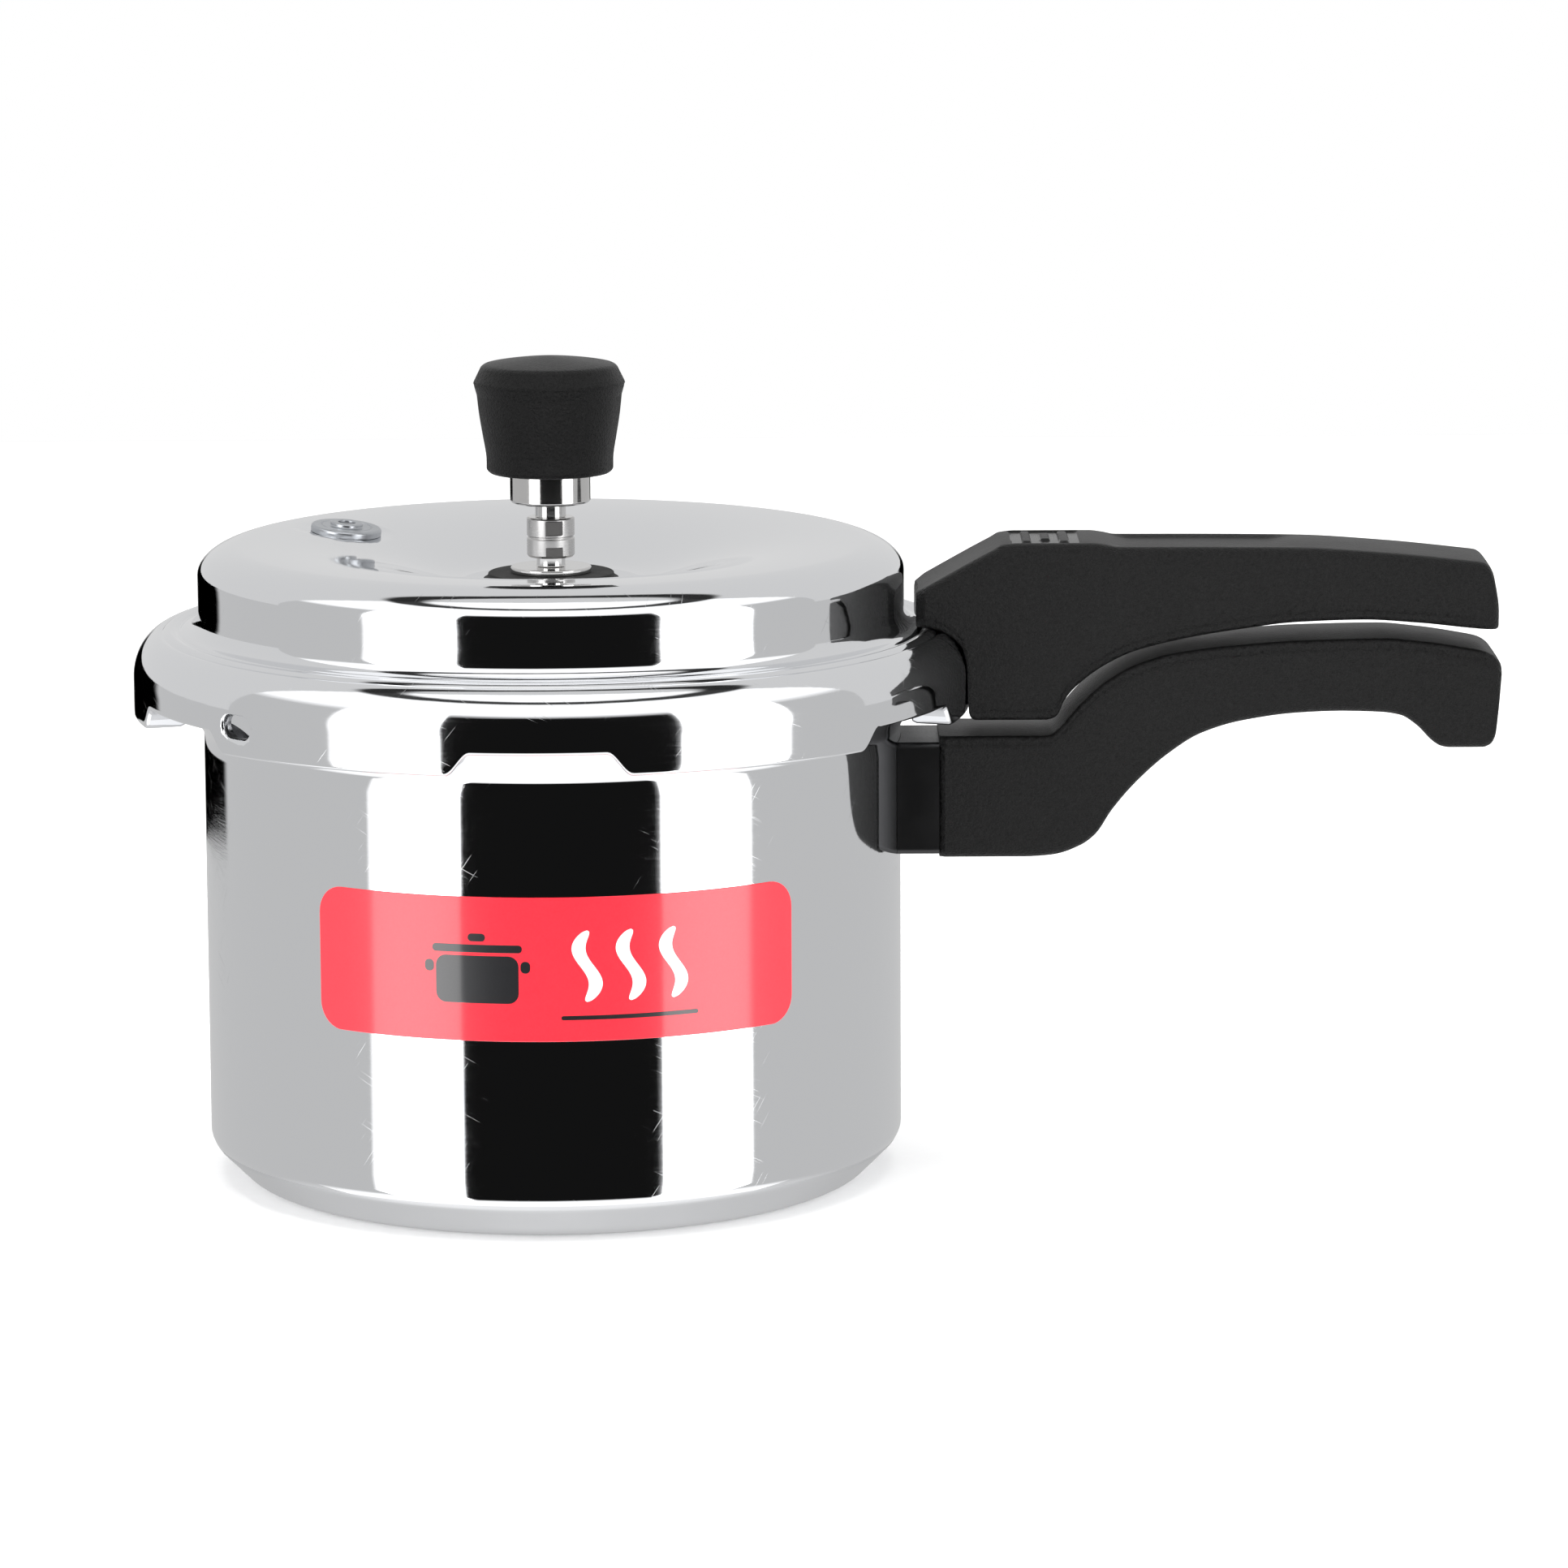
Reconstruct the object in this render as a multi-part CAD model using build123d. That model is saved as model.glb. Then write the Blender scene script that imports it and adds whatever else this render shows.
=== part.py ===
from build123d import *
import os
from math import atan2, cos, degrees, hypot, radians, sin, sqrt

# Stovetop pressure cooker with an outer lid: pot, bayonet lid, two handles that lie one over the other,
# a lift-off pressure weight on a central vent, and a fusible safety plug.
# Millimetres. Z is up, the origin is the centre of the pot's base, and both handles point along +X.

# ---- driving dimensions -------------------------------------------------------------------------
CLEAR = 0.3                 # gap between pieces of different bodies
FIT = 0.05                  # gap between pieces that are fastened together

POT_RADIUS = 90.0           # outside of the pot wall
POT_WALL = 3.0
POT_HEIGHT = 136.0          # base to the top of the rim
BASE_CHAMFER = 10.0         # cone between the flat base and the wall
RIM_WIDTH = 8.5             # rolled rim, measured outwards from the inside of the wall
RIM_DEPTH = 11.0
LUG_COUNT = 6
POT_LUG_REACH = 7.8         # how far a pot lug stands out past the rolled rim
POT_LUG_THICKNESS = 3.5
POT_LUG_ANGLE = 18.0

LID_SHEET = 3.0
SKIRT_GAP = 1.5             # skirt's inside to the tips of the pot lugs
SKIRT_ROUNDING = 2.4        # pressed radius along the low edge of the skirt
LID_LUG_LIP = 10.4          # width of the lip that is turned in under the pot lugs
LUG_RUNNING_GAP = 0.7       # lip's upper side to the underside of a pot lug
CUTOUT_LOW_ANGLE = 24.0     # width of a gap between two lid lugs, at the skirt's low edge
CUTOUT_TOP_ANGLE = 18.5
CUTOUT_CORNER = 4.0
CUTOUT_RISE = 5.4           # how far a gap reaches up the skirt
BRIM_CURVE_WIDTH = 9.8      # skirt's outside in to where the flat brim starts to curve down
BRIM_CURVE = 12.0           # height of that curve
BRIM_TO_RIM = 4.0           # gasket space between the pot's rim and the underside of the brim
CROWN_OVER_WALL = 1.0       # crown's outside beyond the outside of the pot wall
CROWN_FOOT = 4.0            # fillet between the brim and the crown wall
CROWN_WALL = 14.0           # brim up to the start of the crown's shoulder
SHOULDER_HEIGHT = 7.5
SHOULDER_WIDTH = 11.0       # crown's outside in to its highest ring
DISH_DEPTH = 9.9            # ridge down to the flat in the middle
DISH_FLAT = 22.0            # radius of that flat
DISH_SWEEP = (0.5, 1.8)     # how gently the dish leaves the flat, and how gently it reaches the ridge
BRIM_GROOVE = 0.7           # section radius of the grooves pressed into the brim
BRIM_GROOVES = (5.4, 9.2)   # crown's outside out to each groove

RELEASE_SLOT_ANGLE = -134.9  # gasket release window in the skirt, from +X
RELEASE_SLOT_LENGTH = 10.3
RELEASE_SLOT_HEIGHT = 5.9
RELEASE_SLOT_RISE = 7.6     # skirt's low edge up to the middle of the window

GASKET_IN = 5.0             # rim's outside in to the gasket's inner edge
GASKET_OUT = 3.1            # rim's outside out to the gasket's outer edge
GASKET_SQUEEZE = 0.3        # gap left at the rim so the closed pieces only just meet

HANDLE_LENGTH = 136.6       # skirt's outside to the ends of both handles
HANDLE_HALF = 15.0          # half the width of a handle
HANDLE_EDGE = 3.0           # rounding of the long edges
HANDLE_CORNER = 3.4         # rounding of the corners seen from the side
SMOOTH_TURN = 6.0           # degrees below which two lines count as running on into each other
LID_HANDLE_GAP = 3.6        # crown's outside to the inner end of the lid handle
LID_HANDLE_PROUD = 0.6      # lid handle's top above the ridge
LID_HANDLE_DROP = 1.9       # its flat underside below the skirt's low edge
GUARD_LENGTH = 9.8          # pot wall to the body handle's inner end
HANDLE_GAP = 4.0            # lid handle's underside to the body handle's flat top
BODY_HANDLE_DEPTH = 32.0    # flat top to flat underside

GUARD_INSET = 0.4           # flame guard's sides in from the handle's
GUARD_LOW_INSET = 1.0
GUARD_HIGH_INSET = 1.8
BRACKET_SHEET = 2.5
BRACKET_HALF = 11.0
TONGUE_HALF = 4.6
TONGUE_THICKNESS = 8.0
BODY_BRACKET_RISE = 5.1     # handle's underside up to the bracket's low edge
BODY_BRACKET_HEIGHT = 21.0
BODY_TONGUE_RISE = 11.6     # handle's underside up to the tongue
BODY_TONGUE_LENGTH = 28.2   # handle's inner end to the tongue's tip
LID_BRACKET_RISE = 1.7      # skirt's low edge up to the bracket's
LID_BRACKET_HEIGHT = 13.5
LID_TONGUE_RISE = 5.7       # skirt's low edge up to the tongue
LID_TONGUE_LENGTH = 21.2    # skirt's outside to the tongue's tip

RIVET_RADIUS = 1.8
RIVET_HEAD = 3.0
RIVET_HEAD_HEIGHT = 1.2
BODY_RIVET_Y = 7.8
BODY_RIVET_RISES = (8.6, 22.6)  # handle's underside up to each row of rivets
LID_RIVET_Y = 7.9
LID_RIVET_RISE = 10.9       # skirt's low edge up to the rivets

SCREW_RADIUS = 2.4
SCREW_HEAD = 4.2
SCREW_HEAD_HEIGHT = 2.6
SCREW_SLOT = 0.9
WASHER_RADIUS = 5.2
WASHER_THICKNESS = 0.9
SCREW_RECESS = 5.0          # depth of the screw pocket in a handle's underside
BODY_SCREW_IN = 17.2        # body handle's inner end to its screw
LID_SCREWS_OUT = (7.6, 16.6)  # skirt's outside to each screw
LID_WASHER_RADIUS = 4.4

VENT_BORE = 1.6
VENT_THREAD = 4.0
VENT_FLANGE = 10.4
VENT_FLANGE_THICKNESS = 1.6
VENT_NECK = 3.7
VENT_NECK_HEIGHT = 2.5
VENT_COLLAR = 6.15
VENT_COLLAR_HEIGHT = 10.3
VENT_GROOVE = 1.1           # depth of the V groove half way up the collar
VENT_TIP_HEIGHT = 13.4      # collar's top to the seat that the needle closes
VENT_TAIL = 10.6            # threaded length under the lid
OUTER_WASHER = 17.4
OUTER_WASHER_TOP = 16.2
OUTER_WASHER_THICKNESS = 1.8
INNER_WASHER = 11.0
INNER_WASHER_THICKNESS = 1.5
VENT_NUT_FLATS = 17.0
VENT_NUT_HEIGHT = 6.0

WEIGHT_CORE_RADIUS = 10.35
WEIGHT_CORE_SKIRT = 7.8     # exposed height of the steel core
WEIGHT_CORE_STEM = 8.0
WEIGHT_RIDE = 3.7           # collar's top to the core's low edge
WEIGHT_NEEDLE = 1.3
NEEDLE_LENGTH = 9.0
NEEDLE_LIFT = 0.15
CLIP_WIRE = 0.4             # section radius of the spring clip in the core's bore
CAP_FOOT_RADIUS = 16.3
CAP_RADIUS = 19.4
CAP_BEAD_HEIGHT = 23.2      # cap's foot up to its widest ring
CAP_SHOULDER = 16.9
CAP_SHOULDER_HEIGHT = 27.8
CAP_HEIGHT = 30.0

PLUG_X = -54.5              # safety valve's place on the dished crown
PLUG_Y = 28.5
PLUG_DIMPLE = 11.0
PLUG_DIMPLE_DEPTH = 0.8
PLUG_FLANGE = 9.2
PLUG_FLANGE_THICKNESS = 1.9
PLUG_THREAD = 5.0
PLUG_TAIL = 10.5
PLUG_BOSS = 4.2
PLUG_BOSS_HEIGHT = 1.0
PLUG_CORE = 2.2
PLUG_NUT_FLATS = 15.0
PLUG_NUT_HEIGHT = 4.5
PLUG_WASHER = 8.6
PLUG_WASHER_THICKNESS = 1.4

LABEL_LOW = 51.9
LABEL_HIGH = 88.3
LABEL_HALF_ANGLE = 40.8
LABEL_TURN = 2.2            # label's centre, from -Y towards +X
LABEL_CORNER = 7.0
LABEL_THICKNESS = 0.2

# ---- sizes that follow from them ----------------------------------------------------------------
POT_INSIDE = POT_RADIUS - POT_WALL
RIM_RADIUS = POT_INSIDE + RIM_WIDTH
POT_LUG_RADIUS = RIM_RADIUS + POT_LUG_REACH
POT_LUG_Z = POT_HEIGHT - RIM_DEPTH
SKIRT_RADIUS = POT_LUG_RADIUS + SKIRT_GAP + LID_SHEET
LID_LOW = POT_LUG_Z - LUG_RUNNING_GAP - LID_SHEET
CUTOUT_TOP = LID_LOW + CUTOUT_RISE
BRIM_Z = POT_HEIGHT + BRIM_TO_RIM + LID_SHEET
RIDGE_Z = BRIM_Z + CROWN_WALL + SHOULDER_HEIGHT
DISH_Z = RIDGE_Z - DISH_DEPTH
VENT_FLANGE_Z = DISH_Z + OUTER_WASHER_THICKNESS
COLLAR_Z = VENT_FLANGE_Z + VENT_FLANGE_THICKNESS + VENT_NECK_HEIGHT
COLLAR_TOP = COLLAR_Z + VENT_COLLAR_HEIGHT
VENT_SEAT_Z = COLLAR_TOP + VENT_TIP_HEIGHT
CORE_Z = COLLAR_TOP + WEIGHT_RIDE
CAP_Z = CORE_Z + WEIGHT_CORE_SKIRT
CORE_BORE = VENT_THREAD + CLEAR

CROWN_RADIUS = POT_RADIUS + CROWN_OVER_WALL
RIDGE_RADIUS = CROWN_RADIUS - SHOULDER_WIDTH
BRIM_FLAT = SKIRT_RADIUS - BRIM_CURVE_WIDTH
BRIM_GROOVE_RADII = [CROWN_RADIUS + out for out in BRIM_GROOVES]
RELEASE_SLOT_Z = LID_LOW + RELEASE_SLOT_RISE
GASKET_INNER = RIM_RADIUS - GASKET_IN
GASKET_OUTER = RIM_RADIUS + GASKET_OUT

HANDLE_END = SKIRT_RADIUS + HANDLE_LENGTH
LID_HANDLE_ROOT = CROWN_RADIUS + LID_HANDLE_GAP
LID_HANDLE_TOP = RIDGE_Z + LID_HANDLE_PROUD
LID_HANDLE_FOOT = LID_LOW - LID_HANDLE_DROP
BODY_HANDLE_ROOT = POT_RADIUS + GUARD_LENGTH
BODY_HANDLE_TOP = LID_HANDLE_FOOT - HANDLE_GAP
BODY_HANDLE_FOOT = BODY_HANDLE_TOP - BODY_HANDLE_DEPTH
GUARD_HALF = HANDLE_HALF - GUARD_INSET
GUARD_LOW = BODY_HANDLE_FOOT + GUARD_LOW_INSET
GUARD_HIGH = BODY_HANDLE_TOP - GUARD_HIGH_INSET
BODY_BRACKET_LOW = BODY_HANDLE_FOOT + BODY_BRACKET_RISE
BODY_BRACKET_HIGH = BODY_BRACKET_LOW + BODY_BRACKET_HEIGHT
BODY_TONGUE_Z = BODY_HANDLE_FOOT + BODY_TONGUE_RISE
BODY_TONGUE_END = BODY_HANDLE_ROOT + BODY_TONGUE_LENGTH
BODY_SCREW_X = BODY_HANDLE_ROOT + BODY_SCREW_IN
BODY_RIVET_Z = [BODY_HANDLE_FOOT + rise for rise in BODY_RIVET_RISES]
LID_BRACKET_LOW = LID_LOW + LID_BRACKET_RISE
LID_BRACKET_HIGH = LID_BRACKET_LOW + LID_BRACKET_HEIGHT
LID_TONGUE_Z = LID_LOW + LID_TONGUE_RISE
LID_TONGUE_END = SKIRT_RADIUS + LID_TONGUE_LENGTH
LID_SCREW_X = [SKIRT_RADIUS + out for out in LID_SCREWS_OUT]
LID_RIVET_Z = LID_LOW + LID_RIVET_RISE


# ---- helpers ------------------------------------------------------------------------------------
def disc(radius, low, high, at=(0, 0)):
    """Upright cylinder between two heights."""
    return Pos(at[0], at[1], (low + high) / 2) * Cylinder(radius, high - low)


def ring(outer, inner, low, high):
    """Upright tube between two heights."""
    return disc(outer, low, high) - disc(inner, low - 1, high + 1)


def block(x, y, z):
    """Box from three (low, high) pairs."""
    size = [pair[1] - pair[0] for pair in (x, y, z)]
    middle = [(pair[0] + pair[1]) / 2 for pair in (x, y, z)]
    return Pos(*middle) * Box(*size)


def turned(*lines):
    """Solid of revolution about Z from lines in the (radius, height) plane."""
    return revolve(Plane.XZ * make_face(Curve() + list(lines)), Axis.Z)


def hexagon(flats, low, high):
    """Upright hexagonal bar measured across its flats."""
    return extrude(Plane.XY.offset(low) * RegularPolygon(flats / 2, 6, major_radius=False), high - low)


def along_x(radius, low, high, y, z):
    """Cylinder that lies along X."""
    return Pos((low + high) / 2, y, z) * Rot(0, 90, 0) * Cylinder(radius, high - low)


# ---- pot ----------------------------------------------------------------------------------------
def pot_outline(inset, top):
    """Half section of the pot: flat base, conical chamfer, straight wall."""
    radius = POT_RADIUS - inset
    flat = POT_RADIUS - BASE_CHAMFER - inset * 0.42
    knee = BASE_CHAMFER + inset * 0.42
    path = Polyline((0, inset), (flat, inset), (radius, knee), (radius, top), (0, top), (0, inset))
    return turned(path)


def pot_body():
    """Drawn pot: flat base, conical chamfer and a straight wall up to the rim."""
    pot = pot_outline(0, POT_HEIGHT) - pot_outline(POT_WALL, POT_HEIGHT + 1)
    for hole in body_rivet_shanks(RIVET_RADIUS + FIT):
        pot -= hole
    return pot


def pot_rim():
    """Rolled rim round the top of the wall, with a cone below it and six lugs that stand out."""
    low = POT_LUG_Z - RIM_WIDTH
    rim = turned(Polyline((POT_RADIUS, low), (RIM_RADIUS, POT_LUG_Z), (RIM_RADIUS, POT_HEIGHT),
                          (POT_RADIUS, POT_HEIGHT), (POT_RADIUS, low)))
    lugs = ring(POT_LUG_RADIUS, RIM_RADIUS - 1, POT_LUG_Z, POT_LUG_Z + POT_LUG_THICKNESS)
    reach = 2 * POT_LUG_RADIUS
    half = radians(POT_LUG_ANGLE / 2)
    wedge = make_face(Polyline((0, 0), (reach * cos(half), -reach * sin(half)),
                               (reach * cos(half), reach * sin(half)), (0, 0)))
    sector = extrude(Plane.XY.offset(POT_LUG_Z) * wedge, POT_LUG_THICKNESS)
    for index in range(LUG_COUNT):
        rim += lugs & (Rot(0, 0, index * 360 / LUG_COUNT) * sector)
    return rim


def body_rivet_places():
    """Centres of the four rivets, as (y, z)."""
    return [(side * BODY_RIVET_Y, z) for side in (-1, 1) for z in BODY_RIVET_Z]


def body_rivet_shanks(radius):
    """Shanks of the body rivets, from the inside of the wall to the outside of the bracket."""
    low = sqrt((POT_INSIDE - RIVET_HEAD_HEIGHT) ** 2 - BODY_RIVET_Y ** 2)
    high = POT_RADIUS + BRACKET_SHEET + RIVET_HEAD_HEIGHT
    return [along_x(radius, low, high, y, z) for y, z in body_rivet_places()]


def bracket_rivets():
    """Four rivets through the wall and the bracket, with a head on each side."""
    wall = ring(POT_RADIUS + BRACKET_SHEET, POT_INSIDE, 0, POT_HEIGHT)
    rivets = []
    for (y, z), shank in zip(body_rivet_places(), body_rivet_shanks(RIVET_RADIUS)):
        inside = sqrt(POT_INSIDE ** 2 - BODY_RIVET_Y ** 2) - RIVET_HEAD_HEIGHT
        outside = sqrt((POT_RADIUS + BRACKET_SHEET) ** 2 - BODY_RIVET_Y ** 2) + RIVET_HEAD_HEIGHT
        heads = along_x(RIVET_HEAD, inside, outside, y, z) - wall
        span = along_x(RIVET_RADIUS, inside, outside, y, z)
        rivets.append(heads + (span & shank))
    return Compound(children=[piece.solid() for piece in rivets])


def body_tongue(gap):
    """Bar that carries the body handle."""
    half = TONGUE_HALF + gap
    start = POT_RADIUS + BRACKET_SHEET / 2
    return block((start, BODY_TONGUE_END + gap), (-half, half),
                 (BODY_TONGUE_Z - gap, BODY_TONGUE_Z + TONGUE_THICKNESS + gap))


def body_bracket():
    """Plate that follows the pot wall, with a bar standing out of it."""
    plate = ring(POT_RADIUS + BRACKET_SHEET, POT_RADIUS, BODY_BRACKET_LOW, BODY_BRACKET_HIGH)
    plate &= block((0, 2 * POT_RADIUS), (-BRACKET_HALF, BRACKET_HALF), (0, POT_HEIGHT))
    bracket = plate + body_tongue(0) - disc(POT_RADIUS, 0, POT_HEIGHT)
    for hole in body_rivet_shanks(RIVET_RADIUS + FIT):
        bracket -= hole
    bracket -= disc(SCREW_RADIUS + FIT, 0, POT_HEIGHT, at=(BODY_SCREW_X, 0))
    return bracket


def flame_guard():
    """Metal box between the pot wall and the body handle, hollow round the bracket."""
    guard = block((POT_RADIUS / 2, BODY_HANDLE_ROOT - FIT), (-GUARD_HALF, GUARD_HALF), (GUARD_LOW, GUARD_HIGH))
    guard = fillet(guard.edges().filter_by(Axis.X), 1.6)
    pocket_end = POT_RADIUS + BRACKET_SHEET + RIVET_HEAD_HEIGHT + 2 * CLEAR
    room = BRACKET_HALF + CLEAR
    pocket = block((0, pocket_end), (-room, room), (BODY_BRACKET_LOW - CLEAR, BODY_BRACKET_HIGH + CLEAR))
    return guard - disc(POT_RADIUS + FIT, 0, POT_HEIGHT) - pocket - body_tongue(FIT)


# ---- body handle --------------------------------------------------------------------------------
def sharp_corners(face):
    """Corners of a flat outline where its two lines meet at an angle."""
    edges = face.face().outer_wire().edges()
    corners = []
    for corner in face.vertices():
        tangents = []
        for edge in edges:
            for place in (0, 1):
                if (edge @ place - Vector(corner)).length < 0.001:
                    tangents.append(edge % place)
        turn = tangents[0].get_angle(tangents[1])
        if SMOOTH_TURN < turn < 180 - SMOOTH_TURN:
            corners.append(corner)
    return corners


def handle_bar(lines):
    """Handle blank: a side outline with round corners, given a width, with its long edges rounded."""
    side = make_face(Curve() + list(lines))
    side = fillet(sharp_corners(side), HANDLE_CORNER)
    bar = extrude(Plane.XZ * side, HANDLE_HALF, both=True)
    rims = bar.faces().filter_by(Axis.Y).edges()
    return fillet(rims, HANDLE_EDGE)


def body_handle():
    """Lower handle: a deep block at the pot that sweeps up into a grip with a hooked end."""
    root = BODY_HANDLE_ROOT
    top = BODY_HANDLE_TOP
    foot = BODY_HANDLE_FOOT
    end = HANDLE_END
    neck = Line((root, foot), (root, top))
    shelf = Line((root, top), (root + 28, top))
    rise = Spline((root + 28, top), (root + 42, top + 12.6), (root + 61, top + 21), (root + 112, top + 24.9),
                  (end - 4, top + 21.2), tangents=((1, 0.35), (1, -0.25)))
    nose = Polyline((end - 4, top + 21.2), (end, top + 16.5), (end - 2, foot + 28.2), (end - 15.5, foot + 28))
    hook = Spline((end - 15.5, foot + 28), (end - 21, foot + 33.4), (end - 31, foot + 37.4),
                  tangents=((-1, 0.2), (-1, 0.02)))
    belly = Spline((end - 31, foot + 37.4), (end - 67, foot + 35.4), (end - 86, foot + 26.6),
                   (end - 103, foot + 7), (root + 24, foot), tangents=((-1, 0), (-1, 0)))
    base = Line((root + 24, foot), (root, foot))
    handle = handle_bar([neck, shelf, rise, nose, hook, belly, base])
    handle -= body_tongue(FIT)
    handle -= disc(SCREW_RADIUS + FIT, foot - 1, BODY_TONGUE_Z + TONGUE_THICKNESS + 4, at=(BODY_SCREW_X, 0))
    handle -= disc(WASHER_RADIUS + FIT, foot - 1, foot + SCREW_RECESS, at=(BODY_SCREW_X, 0))
    return handle


def handle_screw(seat, length, at):
    """Slotted screw driven upwards: head below the washer, shank into the bracket's bar."""
    low = seat - WASHER_THICKNESS - SCREW_HEAD_HEIGHT
    head = disc(SCREW_HEAD, low, low + SCREW_HEAD_HEIGHT, at)
    slot = Pos(at[0], at[1], low) * Box(3 * SCREW_HEAD, SCREW_SLOT, SCREW_HEAD_HEIGHT)
    return head - slot + disc(SCREW_RADIUS, low + SCREW_HEAD_HEIGHT, seat + length, at)


def handle_washer(seat, radius, at):
    """Flat washer between a screw head and the handle."""
    washer = disc(radius, seat - WASHER_THICKNESS, seat, at)
    return washer - disc(SCREW_RADIUS + FIT, seat - 2, seat + 1, at)


def body_handle_screw():
    seat = BODY_HANDLE_FOOT + SCREW_RECESS
    return handle_screw(seat, BODY_TONGUE_Z + TONGUE_THICKNESS + 2 - seat, (BODY_SCREW_X, 0))


def body_handle_washer():
    return handle_washer(BODY_HANDLE_FOOT + SCREW_RECESS, WASHER_RADIUS, (BODY_SCREW_X, 0))


def front_label():
    """Thin adhesive label with round corners on the front of the wall."""
    skin = ring(POT_RADIUS + LABEL_THICKNESS, POT_RADIUS, LABEL_LOW, LABEL_HIGH)
    width = 2 * POT_RADIUS * sin(radians(LABEL_HALF_ANGLE))
    outline = RectangleRounded(width, LABEL_HIGH - LABEL_LOW, LABEL_CORNER)
    middle = (LABEL_LOW + LABEL_HIGH) / 2
    stencil = extrude(Plane.XZ * Pos(0, middle) * outline, 2 * POT_RADIUS)
    return Rot(0, 0, LABEL_TURN) * (skin & stencil)


# ---- lid ----------------------------------------------------------------------------------------
def lid_outline(inset, low, rounding):
    """Half section of the lid's outer surface, moved inwards by inset: dished crown, shoulder, crown wall,
    foot fillet, flat brim, rounded brim edge and skirt."""
    dish = DISH_Z - inset
    ridge = RIDGE_Z - inset
    crown = CROWN_RADIUS - inset
    brim = BRIM_Z - inset
    skirt = SKIRT_RADIUS - inset
    wall_top = BRIM_Z + CROWN_WALL
    foot = CROWN_RADIUS + CROWN_FOOT
    skirt_top = BRIM_Z - BRIM_CURVE
    swing = (CROWN_FOOT + inset) * (1 - cos(radians(45)))
    middle = Line((0, dish), (DISH_FLAT, dish))
    slope = Spline((DISH_FLAT, dish), (RIDGE_RADIUS, ridge), tangents=((1, 0), (1, 0)), tangent_scalars=DISH_SWEEP)
    shoulder = Spline((RIDGE_RADIUS, ridge), (crown, wall_top), tangents=((1, 0), (0, -1)))
    wall = Line((crown, wall_top), (crown, BRIM_Z + CROWN_FOOT))
    heel = ThreePointArc((crown, BRIM_Z + CROWN_FOOT), (crown + swing, brim + swing), (foot, brim))
    flat = Line((foot, brim), (BRIM_FLAT, brim))
    edge = Spline((BRIM_FLAT, brim), (skirt, skirt_top), tangents=((1, 0), (0, -1)), tangent_scalars=(1.2, 1.2))
    side = Line((skirt, skirt_top), (skirt, low + rounding))
    if rounding > 0:
        turn = rounding * (1 - cos(radians(45)))
        hem = ThreePointArc((skirt, low + rounding), (skirt - turn, low + turn), (skirt - rounding, low))
        close = Polyline((skirt - rounding, low), (0, low), (0, dish))
        return turned(middle, slope, shoulder, wall, heel, flat, edge, side, hem, close)
    close = Polyline((skirt, low), (0, low), (0, dish))
    return turned(middle, slope, shoulder, wall, heel, flat, edge, side, close)


def lid_envelope(gap):
    """The lid's outer form with no lugs cut, grown by gap: what the lid handle is cut to."""
    return lid_outline(-gap, LID_LOW - 10, 0)


def skirt_cutout():
    """Cutter for one gap between two lid lugs, along +X: wider at the low edge, with round upper corners."""
    low = SKIRT_RADIUS * sin(radians(CUTOUT_LOW_ANGLE / 2))
    top = SKIRT_RADIUS * sin(radians(CUTOUT_TOP_ANGLE / 2))
    below = LID_LOW - 2
    window = make_face(Polyline((-low, below), (low, below), (low, LID_LOW), (top, CUTOUT_TOP),
                                (-top, CUTOUT_TOP), (-low, LID_LOW), (-low, below)))
    corners = window.vertices().group_by(Axis.Y)[-1]
    window = fillet(corners, CUTOUT_CORNER)
    inner = SKIRT_RADIUS - LID_LUG_LIP - LID_SHEET
    return extrude(Plane.YZ.offset(inner) * window, SKIRT_RADIUS + 4 - inner)


def lid_shell():
    """Pressed lid with a dished crown, a brim, a skirt, and six turned-in lugs between six gaps."""
    shell = lid_outline(0, LID_LOW, SKIRT_ROUNDING) - lid_outline(LID_SHEET, LID_LOW + LID_SHEET, 0)
    shell -= disc(SKIRT_RADIUS - LID_LUG_LIP, LID_LOW - 1, LID_LOW + LID_SHEET + 1)
    for index in range(LUG_COUNT):
        shell -= Rot(0, 0, (index + 0.5) * 360 / LUG_COUNT) * skirt_cutout()
    for radius in BRIM_GROOVE_RADII:
        shell -= Pos(0, 0, BRIM_Z + BRIM_GROOVE * 0.35) * Torus(radius, BRIM_GROOVE)
    window = SlotOverall(RELEASE_SLOT_LENGTH, RELEASE_SLOT_HEIGHT)
    cutter = extrude(Plane.YZ.offset(SKIRT_RADIUS - 2 * LID_SHEET) * Pos(0, RELEASE_SLOT_Z) * window, 3 * LID_SHEET)
    shell -= Rot(0, 0, RELEASE_SLOT_ANGLE) * cutter
    shell -= disc(VENT_THREAD + FIT, DISH_Z - 2 * LID_SHEET, DISH_Z + 1)
    shell -= plug_frame() * disc(PLUG_DIMPLE, -PLUG_DIMPLE_DEPTH, 5)
    shell -= plug_frame() * disc(PLUG_THREAD + FIT, -PLUG_TAIL, 5)
    shell -= plug_frame() * disc(PLUG_DIMPLE, -PLUG_TAIL, -PLUG_DIMPLE_DEPTH - LID_SHEET + 0.4)
    for hole in lid_rivet_shanks(RIVET_RADIUS + FIT):
        shell -= hole
    return shell


def lid_gasket():
    """Rubber sealing ring under the brim, a little thicker at its outer lip."""
    low = POT_HEIGHT + GASKET_SQUEEZE
    high = BRIM_Z - LID_SHEET
    step = (high - low) / 3
    return turned(Polyline((GASKET_INNER, low), (RIM_RADIUS + 1, low), (RIM_RADIUS + 1.6, low - step),
                           (GASKET_OUTER, low - step), (GASKET_OUTER, high - step), (GASKET_OUTER - step, high),
                           (GASKET_INNER + 5, high), (GASKET_INNER, low + step), (GASKET_INNER, low)))


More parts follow.
